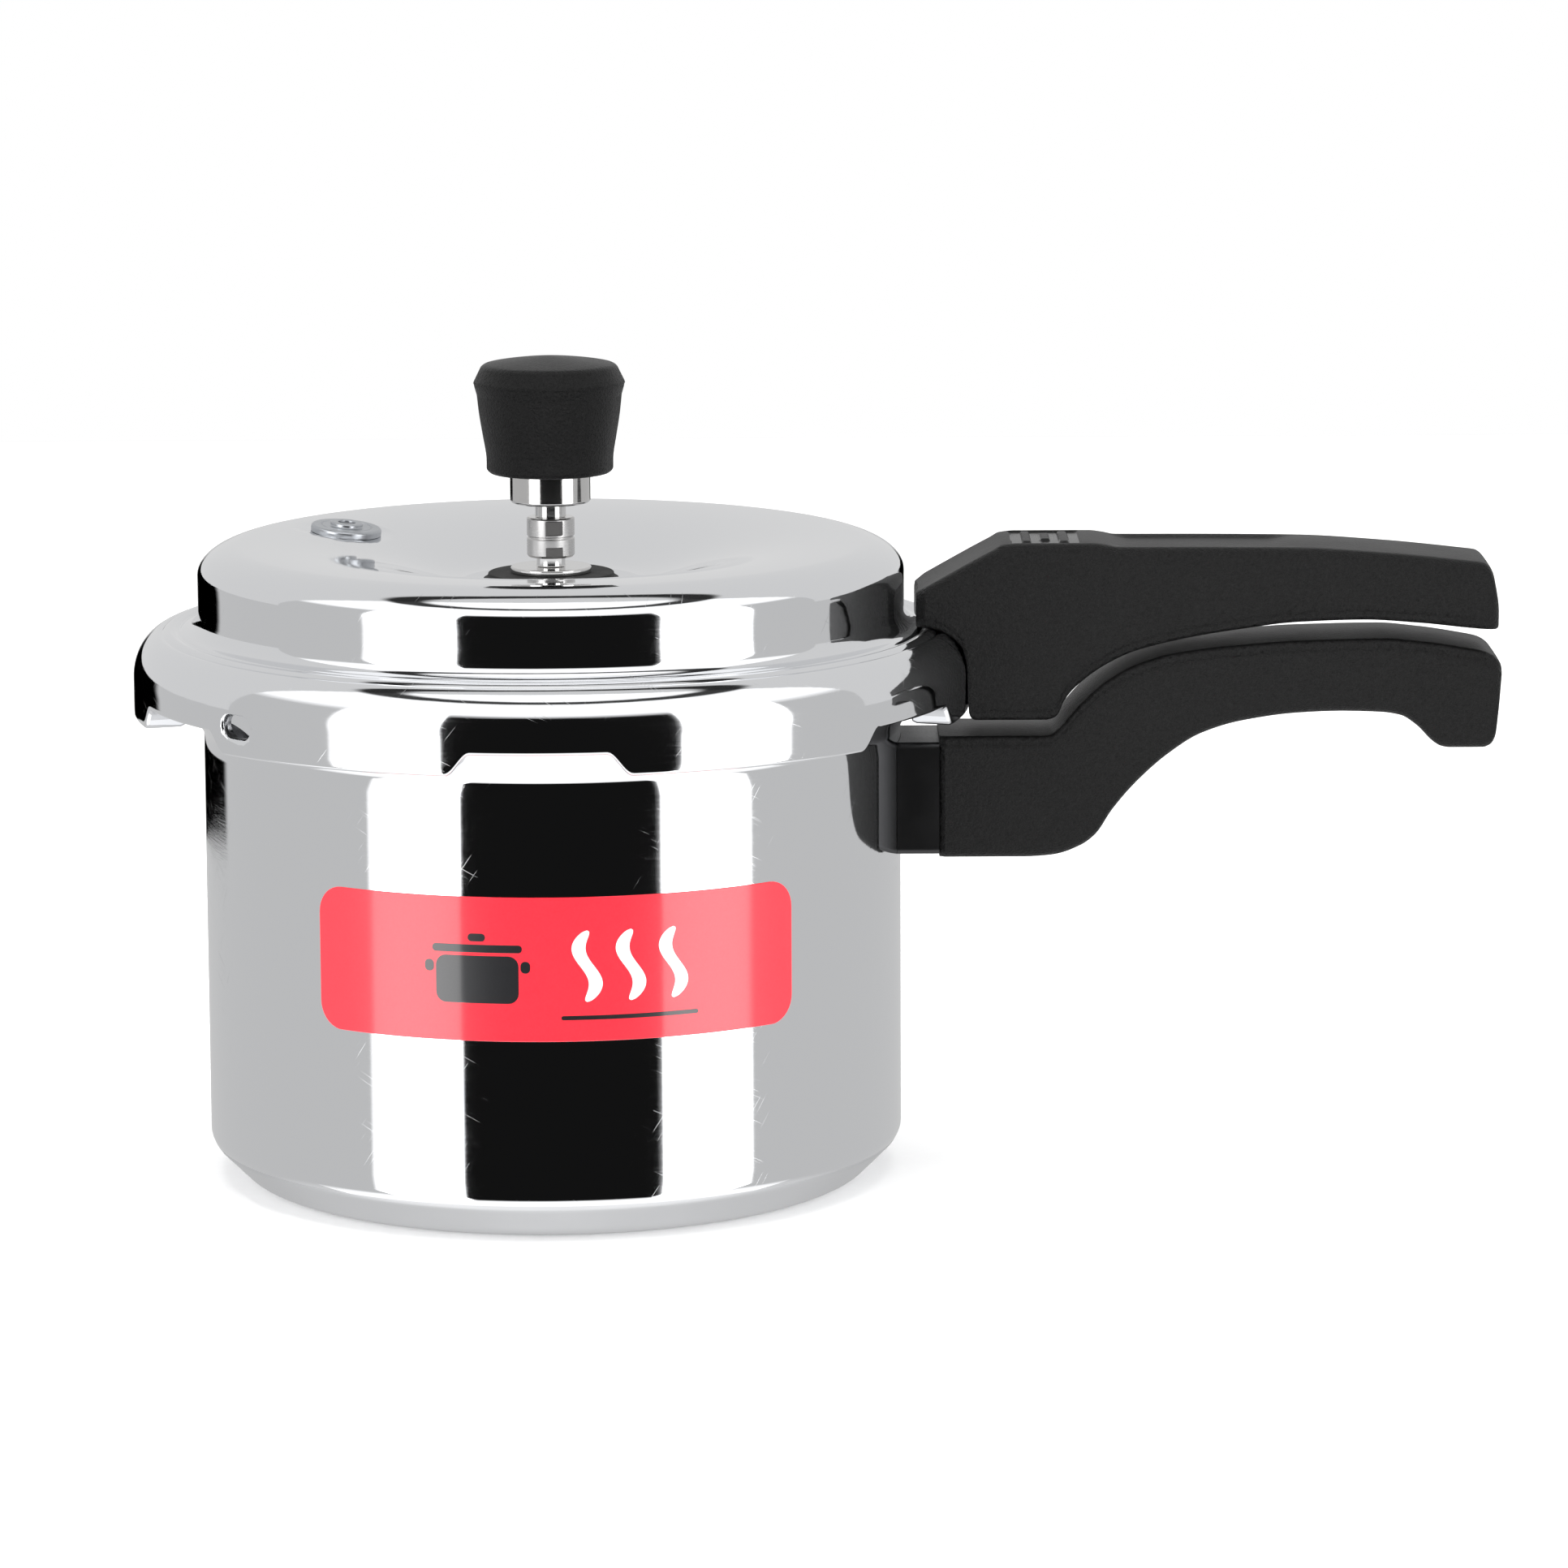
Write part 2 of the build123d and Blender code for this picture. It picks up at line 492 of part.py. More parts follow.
def lid_rivet_shanks(radius):
    """Shanks of the two lid rivets, through the skirt and the bracket plate."""
    inside = sqrt((SKIRT_RADIUS - LID_SHEET) ** 2 - LID_RIVET_Y ** 2) - RIVET_HEAD_HEIGHT
    outside = sqrt((SKIRT_RADIUS + BRACKET_SHEET) ** 2 - LID_RIVET_Y ** 2) + RIVET_HEAD_HEIGHT
    return [along_x(radius, inside, outside, side * LID_RIVET_Y, LID_RIVET_Z) for side in (-1, 1)]


def lid_bracket_rivets():
    """Two rivets with a head inside the skirt and one outside the bracket plate."""
    wall = lid_plate(0) + lid_envelope(0) - lid_outline(LID_SHEET, LID_LOW - 20, 0)
    rivets = []
    for shank, head in zip(lid_rivet_shanks(RIVET_RADIUS), lid_rivet_shanks(RIVET_HEAD)):
        rivets.append(shank + (head - wall))
    return Compound(children=[piece.solid() for piece in rivets])


def lid_tongue(gap):
    """Bar that carries the lid handle."""
    half = TONGUE_HALF + gap
    start = SKIRT_RADIUS + BRACKET_SHEET / 2
    return block((start, LID_TONGUE_END + gap), (-half, half),
                 (LID_TONGUE_Z - gap, LID_TONGUE_Z + TONGUE_THICKNESS + gap))


def lid_plate(gap):
    """Bracket plate that follows the skirt."""
    half = BRACKET_HALF + gap
    plate = disc(SKIRT_RADIUS + BRACKET_SHEET + gap, LID_BRACKET_LOW - gap, LID_BRACKET_HIGH + gap)
    return plate & block((0, 2 * SKIRT_RADIUS), (-half, half), (0, BRIM_Z))


def lid_bracket():
    """Plate riveted to the skirt, with a bar standing out of it."""
    bracket = lid_plate(0) + lid_tongue(0) - lid_envelope(0)
    for hole in lid_rivet_shanks(RIVET_RADIUS + FIT):
        bracket -= hole
    for x in LID_SCREW_X:
        bracket -= disc(SCREW_RADIUS + FIT, 0, RIDGE_Z, at=(x, 0))
    return bracket


def lid_handle():
    """Upper handle: stands on the brim, slopes up to a flat top and runs out over the lower handle."""
    root = LID_HANDLE_ROOT
    top = LID_HANDLE_TOP
    foot = LID_HANDLE_FOOT
    end = HANDLE_END
    nape = Polyline((root, foot), (root, top - 12.6), (root + 23, top), (root + 47, top))
    back = Spline((root + 47, top), (root + 57, top - 1.2), (root + 98, top - 1.5), (end - 4.5, top - 5.5),
                  tangents=((1, 0), (1, -0.16)))
    nose = Line((end - 4.5, top - 5.5), (end, top - 22.6))
    belly = Spline((end, top - 22.6), (end - 21, top - 21), (end - 52, top - 20.6), (end - 80, top - 24.4),
                   (end - 101, top - 30.6), (end - 111, top - 38.6), (root + 36, foot),
                   tangents=((-1, 0.06), (-0.35, -1)))
    base = Line((root + 36, foot), (root, foot))
    handle = handle_bar([nape, back, nose, belly, base]) - lid_envelope(FIT)
    handle -= lid_plate(FIT) + lid_tongue(FIT)
    for head in lid_rivet_shanks(RIVET_HEAD + FIT):
        handle -= head
    for x in LID_SCREW_X:
        handle -= disc(SCREW_RADIUS + FIT, foot - 1, LID_TONGUE_Z + TONGUE_THICKNESS + 4, at=(x, 0))
        handle -= disc(LID_WASHER_RADIUS + FIT, foot - 1, foot + SCREW_RECESS, at=(x, 0))
    return handle


def lid_handle_screws():
    seat = LID_HANDLE_FOOT + SCREW_RECESS
    length = LID_TONGUE_Z + TONGUE_THICKNESS + 2 - seat
    return Compound(children=[handle_screw(seat, length, (x, 0)).solid() for x in LID_SCREW_X])


def lid_handle_washers():
    seat = LID_HANDLE_FOOT + SCREW_RECESS
    return Compound(children=[handle_washer(seat, LID_WASHER_RADIUS, (x, 0)).solid() for x in LID_SCREW_X])


# ---- vent ---------------------------------------------------------------------------------------
def vent_tube():
    """Turned vent: threaded tail, flange, neck, grooved collar and the long tip under the weight."""
    flange_top = VENT_FLANGE_Z + VENT_FLANGE_THICKNESS
    middle = COLLAR_Z + VENT_COLLAR_HEIGHT / 2
    tail = DISH_Z - LID_SHEET - VENT_TAIL
    outline = Polyline((VENT_BORE, tail), (VENT_THREAD, tail), (VENT_THREAD, VENT_FLANGE_Z),
                       (VENT_FLANGE, VENT_FLANGE_Z), (VENT_FLANGE, flange_top), (VENT_NECK, flange_top),
                       (VENT_NECK, COLLAR_Z), (VENT_COLLAR, COLLAR_Z + 0.6), (VENT_COLLAR, middle - VENT_GROOVE),
                       (VENT_COLLAR - VENT_GROOVE, middle), (VENT_COLLAR, middle + VENT_GROOVE),
                       (VENT_COLLAR, COLLAR_TOP - 0.8), (VENT_COLLAR - 0.8, COLLAR_TOP), (VENT_THREAD, COLLAR_TOP),
                       (VENT_THREAD, VENT_SEAT_Z - 1.5), (VENT_THREAD - 1.5, VENT_SEAT_Z),
                       (VENT_BORE, VENT_SEAT_Z), (VENT_BORE, tail))
    return turned(outline)


def vent_washer_outer():
    """Black rubber washer under the vent's flange, with a hollow flank."""
    top = VENT_FLANGE_Z
    flank = ThreePointArc((OUTER_WASHER, DISH_Z), (OUTER_WASHER_TOP + 0.2, DISH_Z + OUTER_WASHER_THICKNESS * 0.4),
                          (OUTER_WASHER_TOP, top))
    rest = Polyline((OUTER_WASHER_TOP, top), (VENT_THREAD + FIT, top), (VENT_THREAD + FIT, DISH_Z),
                    (OUTER_WASHER, DISH_Z))
    return turned(flank, rest)


def vent_washer_inner():
    """Flat sealing washer under the lid."""
    high = DISH_Z - LID_SHEET
    return ring(INNER_WASHER, VENT_THREAD + FIT, high - INNER_WASHER_THICKNESS, high)


def vent_nut():
    """Hexagon nut that holds the vent from inside."""
    high = DISH_Z - LID_SHEET - INNER_WASHER_THICKNESS
    return hexagon(VENT_NUT_FLATS, high - VENT_NUT_HEIGHT, high) - disc(VENT_THREAD + FIT, 0, RIDGE_Z)


# ---- safety valve -------------------------------------------------------------------------------
def dish_height(radius):
    """Height of the crown's upper surface at a radius on the dish, found on the lid's own section."""
    slope = Spline((DISH_FLAT, DISH_Z), (RIDGE_RADIUS, RIDGE_Z), tangents=((1, 0), (1, 0)), tangent_scalars=DISH_SWEEP)
    low, high = 0.0, 1.0
    for _ in range(40):
        middle = (low + high) / 2
        if (slope @ middle).X < radius:
            low = middle
        else:
            high = middle
    return (slope @ low).Y


def plug_frame():
    """Place of the safety valve: on the dish, square to it, its Z pointing out of the lid."""
    radius = hypot(PLUG_X, PLUG_Y)
    step = 0.5
    rise = (dish_height(radius + step) - dish_height(radius - step)) / (2 * step)
    turn = degrees(atan2(PLUG_Y, PLUG_X))
    return Pos(PLUG_X, PLUG_Y, dish_height(radius)) * Rot(0, 0, turn) * Rot(0, -degrees(atan2(rise, 1)), 0)


def safety_valve_body():
    """Flanged, threaded body with a raised boss round the fusible core."""
    seat = -PLUG_DIMPLE_DEPTH
    body = disc(PLUG_FLANGE, seat, seat + PLUG_FLANGE_THICKNESS)
    body = fillet(body.edges().group_by(Axis.Z)[-1], 0.6)
    body += disc(PLUG_BOSS, seat, seat + PLUG_FLANGE_THICKNESS + PLUG_BOSS_HEIGHT)
    body += disc(PLUG_THREAD, -PLUG_TAIL, seat)
    return plug_frame() * (body - disc(PLUG_CORE + FIT, -PLUG_TAIL - 1, PLUG_TAIL))


def safety_valve_plug():
    """Fusible metal core that melts out if the cooker runs dry."""
    top = PLUG_FLANGE_THICKNESS + PLUG_BOSS_HEIGHT - PLUG_DIMPLE_DEPTH - 0.4
    return plug_frame() * disc(PLUG_CORE, -PLUG_TAIL + 0.5, top)


def plug_underside():
    """Depth of the flat under the lid that the valve's washer seats on."""
    return -PLUG_DIMPLE_DEPTH - LID_SHEET + 0.4


def safety_valve_washer():
    high = plug_underside()
    low = high - PLUG_WASHER_THICKNESS
    return plug_frame() * ring(PLUG_WASHER, PLUG_THREAD + FIT, low, high)


def safety_valve_nut():
    high = plug_underside() - PLUG_WASHER_THICKNESS
    nut = hexagon(PLUG_NUT_FLATS, high - PLUG_NUT_HEIGHT, high)
    return plug_frame() * (nut - disc(PLUG_THREAD + FIT, -50, 50))


# ---- pressure weight ----------------------------------------------------------------------------
def weight_core():
    """Steel core: a polished skirt below the cap, a stem inside it, and the bore that drops over the vent."""
    skirt = disc(WEIGHT_CORE_RADIUS, CORE_Z, CAP_Z)
    skirt = chamfer(skirt.edges().group_by(Axis.Z)[0], 0.6)
    stem = disc(WEIGHT_CORE_STEM, CAP_Z, CAP_Z + CAP_BEAD_HEIGHT)
    bore = disc(CORE_BORE, CORE_Z - 1, VENT_SEAT_Z + CLEAR)
    needle = disc(WEIGHT_NEEDLE + FIT, CORE_Z, VENT_SEAT_Z + NEEDLE_LENGTH)
    groove = Pos(0, 0, CORE_Z + WEIGHT_CORE_SKIRT / 2) * Torus(CORE_BORE + CLIP_WIRE, CLIP_WIRE + FIT)
    return skirt + stem - bore - needle - groove


def weight_needle():
    """Pin in the core with a cone that closes the vent's bore."""
    tip = VENT_SEAT_Z + NEEDLE_LIFT
    top = VENT_SEAT_Z + NEEDLE_LENGTH - FIT
    return turned(Polyline((0, tip), (WEIGHT_NEEDLE, tip + 1.6), (WEIGHT_NEEDLE, top), (0, top), (0, tip)))


def weight_clip():
    """Open spring wire that sits in a groove of the core's bore and steadies the weight."""
    wire = Pos(0, 0, CORE_Z + WEIGHT_CORE_SKIRT / 2) * Torus(CORE_BORE + CLIP_WIRE, CLIP_WIRE)
    return wire - Pos(CORE_BORE, 0, CORE_Z + WEIGHT_CORE_SKIRT / 2) * Box(3, 3, 3)


def weight_cap():
    """Black moulded cap: hollow flank, widest ring near the top, shallow domed crown."""
    foot = CAP_Z
    bead = foot + CAP_BEAD_HEIGHT
    shoulder = foot + CAP_SHOULDER_HEIGHT
    lift = CAP_HEIGHT - CAP_SHOULDER_HEIGHT
    dome = ThreePointArc((0, foot + CAP_HEIGHT), (CAP_SHOULDER * 0.6, shoulder + lift * 0.64), (CAP_SHOULDER, shoulder))
    turn_over = ThreePointArc((CAP_SHOULDER, shoulder), (CAP_RADIUS - 0.5, shoulder - 1.7), (CAP_RADIUS, bead))
    flank = Spline((CAP_RADIUS, bead), (CAP_RADIUS - 0.5, bead - 1.4), (CAP_RADIUS - 2.3, foot + 9),
                   (CAP_FOOT_RADIUS, foot + 1.2))
    heel = Polyline((CAP_FOOT_RADIUS, foot + 1.2), (CAP_FOOT_RADIUS - 1, foot), (0, foot), (0, foot + CAP_HEIGHT))
    cap = turned(dome, turn_over, flank, heel)
    return cap - disc(WEIGHT_CORE_STEM + FIT, foot - 1, foot + CAP_BEAD_HEIGHT + FIT)


# ---- output -------------------------------------------------------------------------------------
NODES = {
    "pot_body": pot_body, "pot_rim": pot_rim, "body_bracket": body_bracket, "bracket_rivets": bracket_rivets,
    "flame_guard": flame_guard, "body_handle": body_handle, "body_handle_screw": body_handle_screw,
    "body_handle_washer": body_handle_washer, "front_label": front_label, "lid_shell": lid_shell,
    "lid_gasket": lid_gasket, "lid_bracket": lid_bracket, "lid_bracket_rivets": lid_bracket_rivets,
    "lid_handle": lid_handle, "lid_handle_screws": lid_handle_screws, "lid_handle_washers": lid_handle_washers,
    "vent_tube": vent_tube, "vent_washer_outer": vent_washer_outer, "vent_washer_inner": vent_washer_inner,
    "vent_nut": vent_nut, "safety_valve_body": safety_valve_body, "safety_valve_plug": safety_valve_plug,
    "safety_valve_washer": safety_valve_washer, "safety_valve_nut": safety_valve_nut,
    "weight_cap": weight_cap, "weight_core": weight_core, "weight_needle": weight_needle,
    "weight_clip": weight_clip,
}

os.makedirs("parts", exist_ok=True)
for name, make in NODES.items():
    shape = make()
    export_step(shape, f"parts/{name}.step")
    print(name, round(shape.volume), "mm3")
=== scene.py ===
# %% [markdown]
# # A stovetop pressure cooker
# The cooker's design is already fixed: every piece has its size and place, and this lesson only gives it
# its looks. So the first step loads that model as a frame that nothing may move, and keeps its box for
# comparison at the end.

# %% Load the fixed frame
from math import cos, pi, radians, sin

import bmesh
import bpy
import numpy as np
from mathutils import Matrix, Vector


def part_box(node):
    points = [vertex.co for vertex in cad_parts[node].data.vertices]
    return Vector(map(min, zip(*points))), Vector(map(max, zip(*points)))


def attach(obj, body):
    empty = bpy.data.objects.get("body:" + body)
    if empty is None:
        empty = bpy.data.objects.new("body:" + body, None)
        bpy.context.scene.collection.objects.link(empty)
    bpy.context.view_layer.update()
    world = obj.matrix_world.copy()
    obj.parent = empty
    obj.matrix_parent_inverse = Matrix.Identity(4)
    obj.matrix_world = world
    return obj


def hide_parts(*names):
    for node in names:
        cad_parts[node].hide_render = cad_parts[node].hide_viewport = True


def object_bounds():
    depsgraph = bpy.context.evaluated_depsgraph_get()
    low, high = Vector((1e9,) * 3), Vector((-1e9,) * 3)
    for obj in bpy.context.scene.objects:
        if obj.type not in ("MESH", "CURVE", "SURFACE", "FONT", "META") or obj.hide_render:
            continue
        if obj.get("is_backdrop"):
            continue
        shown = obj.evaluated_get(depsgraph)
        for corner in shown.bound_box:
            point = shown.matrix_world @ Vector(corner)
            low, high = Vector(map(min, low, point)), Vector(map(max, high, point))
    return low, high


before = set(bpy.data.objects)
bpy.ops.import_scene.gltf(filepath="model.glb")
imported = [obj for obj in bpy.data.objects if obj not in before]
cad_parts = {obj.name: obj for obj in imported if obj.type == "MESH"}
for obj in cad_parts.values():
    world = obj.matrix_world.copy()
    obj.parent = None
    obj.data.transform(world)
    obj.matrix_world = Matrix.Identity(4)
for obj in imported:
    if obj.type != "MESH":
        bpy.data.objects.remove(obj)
cad_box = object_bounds()
MM = 0.001

# %% [markdown]
# ## Where the pieces are
# A seat, a rim or an axis is read from the box of the CAD piece that owns it, in millimetres, so that the
# pieces made here land where the design says.

# %% Read the sizes


def span(node):
    """Lowest and highest corner of a CAD piece, in millimetres."""
    low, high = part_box(node)
    return np.array(low) / MM, np.array(high) / MM


pot_high = span("pot_body")[1]
lid_low, lid_high = span("lid_shell")
vent_low, vent_high = span("vent_tube")
core_low, core_high = span("weight_core")
cap_low, cap_high = span("weight_cap")
seat_low, seat_high = span("vent_washer_outer")
print("pot", pot_high[2], "mm high, lid", lid_low[2], "to", lid_high[2])

# %% [markdown]
# ## The camera
# A long lens stands about 1.8 metres away and a little above the lid, off to the handle's side of the pot.
# It comes first, because each finish is judged through it.

# %% Place the camera
CAMERA_PLACE = (0.0598, -1.760, 0.414)
CAMERA_PITCH = 79.9
CAMERA_ROLL = -0.26
LENS = 158.3

lens = bpy.data.cameras.new("long_lens")
lens.lens = LENS
lens.sensor_width = 36.0
lens.clip_start = 0.05
lens.clip_end = 30.0
camera = bpy.data.objects.new("camera", lens)
bpy.context.scene.collection.objects.link(camera)
tilt = Matrix.Rotation(radians(CAMERA_PITCH), 4, "X")
roll = Matrix.Rotation(radians(CAMERA_ROLL), 4, "Z")
camera.matrix_world = Matrix.Translation(CAMERA_PLACE) @ tilt @ roll
bpy.context.scene.camera = camera
print("camera at", CAMERA_PLACE)

# %% [markdown]
# ## Shader helpers
# Colours are written as the hex values a paint programme shows, and one function makes them linear for the
# renderer. One small function adds a shader node, sets its values and links what feeds it.

# %% Helpers for materials


def tone(code):
    """Linear RGBA from an sRGB hex code: c / 12.92 near black, ((c + 0.055) / 1.055) ** 2.4 above."""
    channels = np.array([int(code[i:i + 2], 16) for i in (1, 3, 5)]) / 255
    linear = np.where(channels <= 0.04045, channels / 12.92, ((channels + 0.055) / 1.055) ** 2.4)
    return (*linear.tolist(), 1.0)


def add(tree, kind, inputs=None, **settings):
    """Adds one shader node. An input is a plain value, or another node's output, which is linked."""
    made = tree.nodes.new("ShaderNode" + kind)
    for name, value in settings.items():
        setattr(made, name, value)
    for name, value in (inputs or {}).items():
        if isinstance(value, bpy.types.NodeSocket):
            tree.links.new(value, made.inputs[name])
        else:
            made.inputs[name].default_value = value
    return made


def material(name, **sockets):
    """A new material with a Principled shader whose constant sockets are set by name."""
    made = bpy.data.materials.new(name)
    made.use_nodes = True
    tree = made.node_tree
    tree.nodes.clear()
    shader = add(tree, "BsdfPrincipled", {key.replace("_", " "): value for key, value in sockets.items()})
    add(tree, "OutputMaterial", {"Surface": shader.outputs[0]})
    return made, tree, shader


def ramp(tree, value, stops):
    """A colour ramp from (position, brightness) pairs."""
    made = add(tree, "ValToRGB", {"Fac": value})
    steps = made.color_ramp.elements
    while len(steps) < len(stops):
        steps.new(0.5)
    for step, (place, grey) in zip(steps, stops):
        step.position = place
        step.color = (grey, grey, grey, 1.0)
    return made.outputs["Color"]


# %% [markdown]
# ## Polished aluminium
# The pot and lid are pressed from aluminium sheet and buffed on a wheel. The buff leaves a mirror with
# faint hair scratches that mostly run round the pot, and a thumbed haze where it has been handled. The
# scratches are noise stretched round the axis, and the haze is a slow change of roughness. A few stray
# scratches cross them.

# %% Make the aluminium finishes
SCRATCH_PITCH = 0.35        # millimetres between buffing marks
SCRATCH_WIDTH = 0.16        # millimetres across a stray scratch
SCRATCH_LENGTH = 16.0
SCRATCH_LEANS = (0.6, -1.1)  # radians that the stray scratches lean from upright
WALL_RADIUS = 90.0          # millimetres that turn an angle into a length along the wall
HAZE_SIZE = 28.0            # millimetres across a patch of haze


def round_axis(tree, place):
    """Coordinates that run with a turned surface: angle, radius and height in millimetres."""
    split = add(tree, "SeparateXYZ", {0: place})
    x, y, z = split.outputs
    angle = add(tree, "Math", {0: y, 1: x}, operation="ARCTAN2").outputs[0]
    flat = add(tree, "CombineXYZ", {0: x, 1: y}).outputs[0]
    radius = add(tree, "VectorMath", {0: flat}, operation="LENGTH").outputs["Value"]
    return add(tree, "CombineXYZ", {0: angle, 1: radius, 2: z}).outputs[0]


def stray_scratches(tree, turned):
    """Sparse scratches in two directions: noise drawn out along a slanted line, with only its peaks kept."""
    unrolled = add(tree, "VectorMath", {0: turned, 1: (WALL_RADIUS * MM, 0.0, 1.0)}, operation="MULTIPLY")
    marks = 0.0
    for lean in SCRATCH_LEANS:
        drawn = add(tree, "Mapping", {"Vector": unrolled.outputs[0], "Rotation": (0.0, lean, 0.0),
                                      "Scale": (SCRATCH_WIDTH * MM, 1.0, SCRATCH_LENGTH * MM)},
                    vector_type="TEXTURE")
        line = add(tree, "TexNoise", {"Vector": drawn.outputs[0], "Scale": 1.0, "Detail": 1.0})
        kept = add(tree, "MapRange", {"Value": line.outputs["Fac"], "From Min": 0.71, "From Max": 0.80})
        marks = add(tree, "Math", {0: kept.outputs[0], 1: marks}, operation="ADD").outputs[0]
    return marks


def polished(name, colour, gloss, haze, scratch, along=9.0, stray=0.0):
    """Buffed metal: colour, least roughness, how much the haze adds, strength of the marks, how often they
    break along their length, and how far the stray scratches stand over the hair marks."""
    made, tree, shader = material(name, Base_Color=tone(colour), Metallic=1.0)
    place = add(tree, "TexCoord").outputs["Object"]
    turned = round_axis(tree, place)
    across = 1 / (SCRATCH_PITCH * MM)
    fine = add(tree, "VectorMath", {0: turned, 1: (along, across, across)}, operation="MULTIPLY").outputs[0]
    hair = add(tree, "TexNoise", {"Vector": fine, "Scale": 1.0, "Detail": 3.0, "Roughness": 0.6})
    cloud = add(tree, "TexNoise", {"Vector": place, "Scale": 1 / (HAZE_SIZE * MM), "Detail": 4.0,
                                   "Roughness": 0.55})
    spread = add(tree, "MapRange", {"Value": cloud.outputs["Fac"], "From Min": 0.35, "From Max": 0.75,
                                    "To Min": gloss, "To Max": gloss + haze})
    grain = add(tree, "MapRange", {"Value": hair.outputs["Fac"], "From Min": 0.3, "From Max": 0.8,
                                   "To Min": -0.02, "To Max": 0.03})
    rough = add(tree, "Math", {0: spread.outputs[0], 1: grain.outputs[0]}, operation="ADD", use_clamp=True)
    tree.links.new(rough.outputs[0], shader.inputs["Roughness"])
    lines = add(tree, "Math", {0: stray_scratches(tree, turned), 1: stray, 2: hair.outputs["Fac"]},
                operation="MULTIPLY_ADD")
    bump = add(tree, "Bump", {"Height": lines.outputs[0], "Strength": scratch, "Distance": 0.02 * MM})
    tree.links.new(bump.outputs[0], shader.inputs["Normal"])
    return made


buffed_aluminium = polished("buffed_aluminium", "#e9eaec", 0.035, 0.03, 0.14, stray=1.2)
satin_aluminium = polished("satin_aluminium", "#dcdddf", 0.30, 0.10, 0.55, along=2.0)
inner_aluminium = polished("spun_aluminium_inside", "#d2d3d5", 0.28, 0.12, 0.45, along=2.0)
print("aluminium finishes made")

# %% [markdown]
# ## Moulded phenolic
# The handles are compression-moulded phenolic resin, the hard black plastic that stands the heat of a hob.
# Their mould was etched with a fine leather grain, so the sides break up the light into specks, while the
# top was left smoother by hands and by the mould's polished land. The grain is a small cellular noise used
# as bump, and a mask on the way the surface faces fades it on top. The cap of the weight has the same resin
# with a finer texture.

# %% Make the phenolic finishes
GRAIN_SIZE = 0.95           # millimetres across one pebble of the handle's grain
CAP_GRAIN_SIZE = 0.7
GRAIN_DEPTH = 0.55          # several times deeper than an etched grain, so that it shows at this distance
DUST_SIZE = 14.0            # millimetres across a patch of dust or polish


def phenolic(name, size, depth, gloss, top_gloss, top_fade):
    """Black resin with an etched grain of that size in millimetres, and that depth as a share of
    GRAIN_DEPTH. gloss and top_gloss are the roughness of the sides and of the top, and top_fade is the share
    of the grain that is left on top."""
    made, tree, shader = material(name, IOR=1.5, Specular_IOR_Level=0.2)
    place = add(tree, "TexCoord").outputs["Object"]
    warp = add(tree, "TexNoise", {"Vector": place, "Scale": 0.6 / (size * MM), "Detail": 2.0})
    bent = add(tree, "Mix", {"Factor": 0.0006, 4: place, 5: warp.outputs["Color"]}, data_type="VECTOR")
    pebble = add(tree, "TexVoronoi", {"Vector": bent.outputs[1], "Scale": 1 / (size * MM), "Randomness": 1.0},
                 feature="SMOOTH_F1")
    fine = add(tree, "TexNoise", {"Vector": place, "Scale": 2.2 / (size * MM), "Detail": 3.0})
    height = add(tree, "Math", {0: pebble.outputs["Distance"], 1: 0.75, 2: fine.outputs["Fac"]},
                 operation="MULTIPLY_ADD")
    facing = add(tree, "SeparateXYZ", {0: add(tree, "NewGeometry").outputs["Normal"]}).outputs["Z"]
    top = add(tree, "MapRange", {"Value": facing, "From Min": 0.45, "From Max": 0.9, "To Min": 1.0,
                                 "To Max": top_fade}, interpolation_type="SMOOTHSTEP")
    scaled = add(tree, "Math", {0: height.outputs[0], 1: top.outputs[0]}, operation="MULTIPLY")
    bump = add(tree, "Bump", {"Height": scaled.outputs[0], "Strength": depth, "Distance": GRAIN_DEPTH * MM})
    tree.links.new(bump.outputs[0], shader.inputs["Normal"])
    dust = add(tree, "TexNoise", {"Vector": place, "Scale": 1 / (DUST_SIZE * MM), "Detail": 5.0})
    rough = add(tree, "MapRange", {"Value": top.outputs[0], "From Min": top_fade, "From Max": 1.0,
                                   "To Min": top_gloss, "To Max": gloss})
    varied = add(tree, "Math", {0: dust.outputs["Fac"], 1: 0.10, 2: rough.outputs[0]},
                 operation="MULTIPLY_ADD")
    tree.links.new(varied.outputs[0], shader.inputs["Roughness"])
    raised = add(tree, "MapRange", {"Value": height.outputs[0], "From Min": 0.35, "From Max": 1.0})
    resin = add(tree, "Mix", {"Factor": raised.outputs[0], 6: tone("#040404"), 7: tone("#0e0e0e")},
                data_type="RGBA")
    tree.links.new(resin.outputs[2], shader.inputs["Base Color"])
    return made


handle_phenolic = phenolic("grained_phenolic", GRAIN_SIZE, 1.0, 0.27, 0.36, 0.2)
cap_phenolic = phenolic("fine_phenolic", CAP_GRAIN_SIZE, 0.9, 0.27, 0.32, 0.35)
smooth_phenolic = phenolic("polished_phenolic", CAP_GRAIN_SIZE, 0.08, 0.16, 0.16, 0.5)
print("phenolic finishes made")

# %% [markdown]
# ## Steel, brass, rubber and vinyl
# The vent and the weight's core are turned stainless steel: the turning tool leaves fine rings that the
# polish softens. The guard by the handle is a dark, blued box of steel. The small fittings inside the lid
# are turned brass and moulded nitrile rubber. The label is a glossy printed vinyl: a red ink under a clear
# film.

# %% Make the other finishes


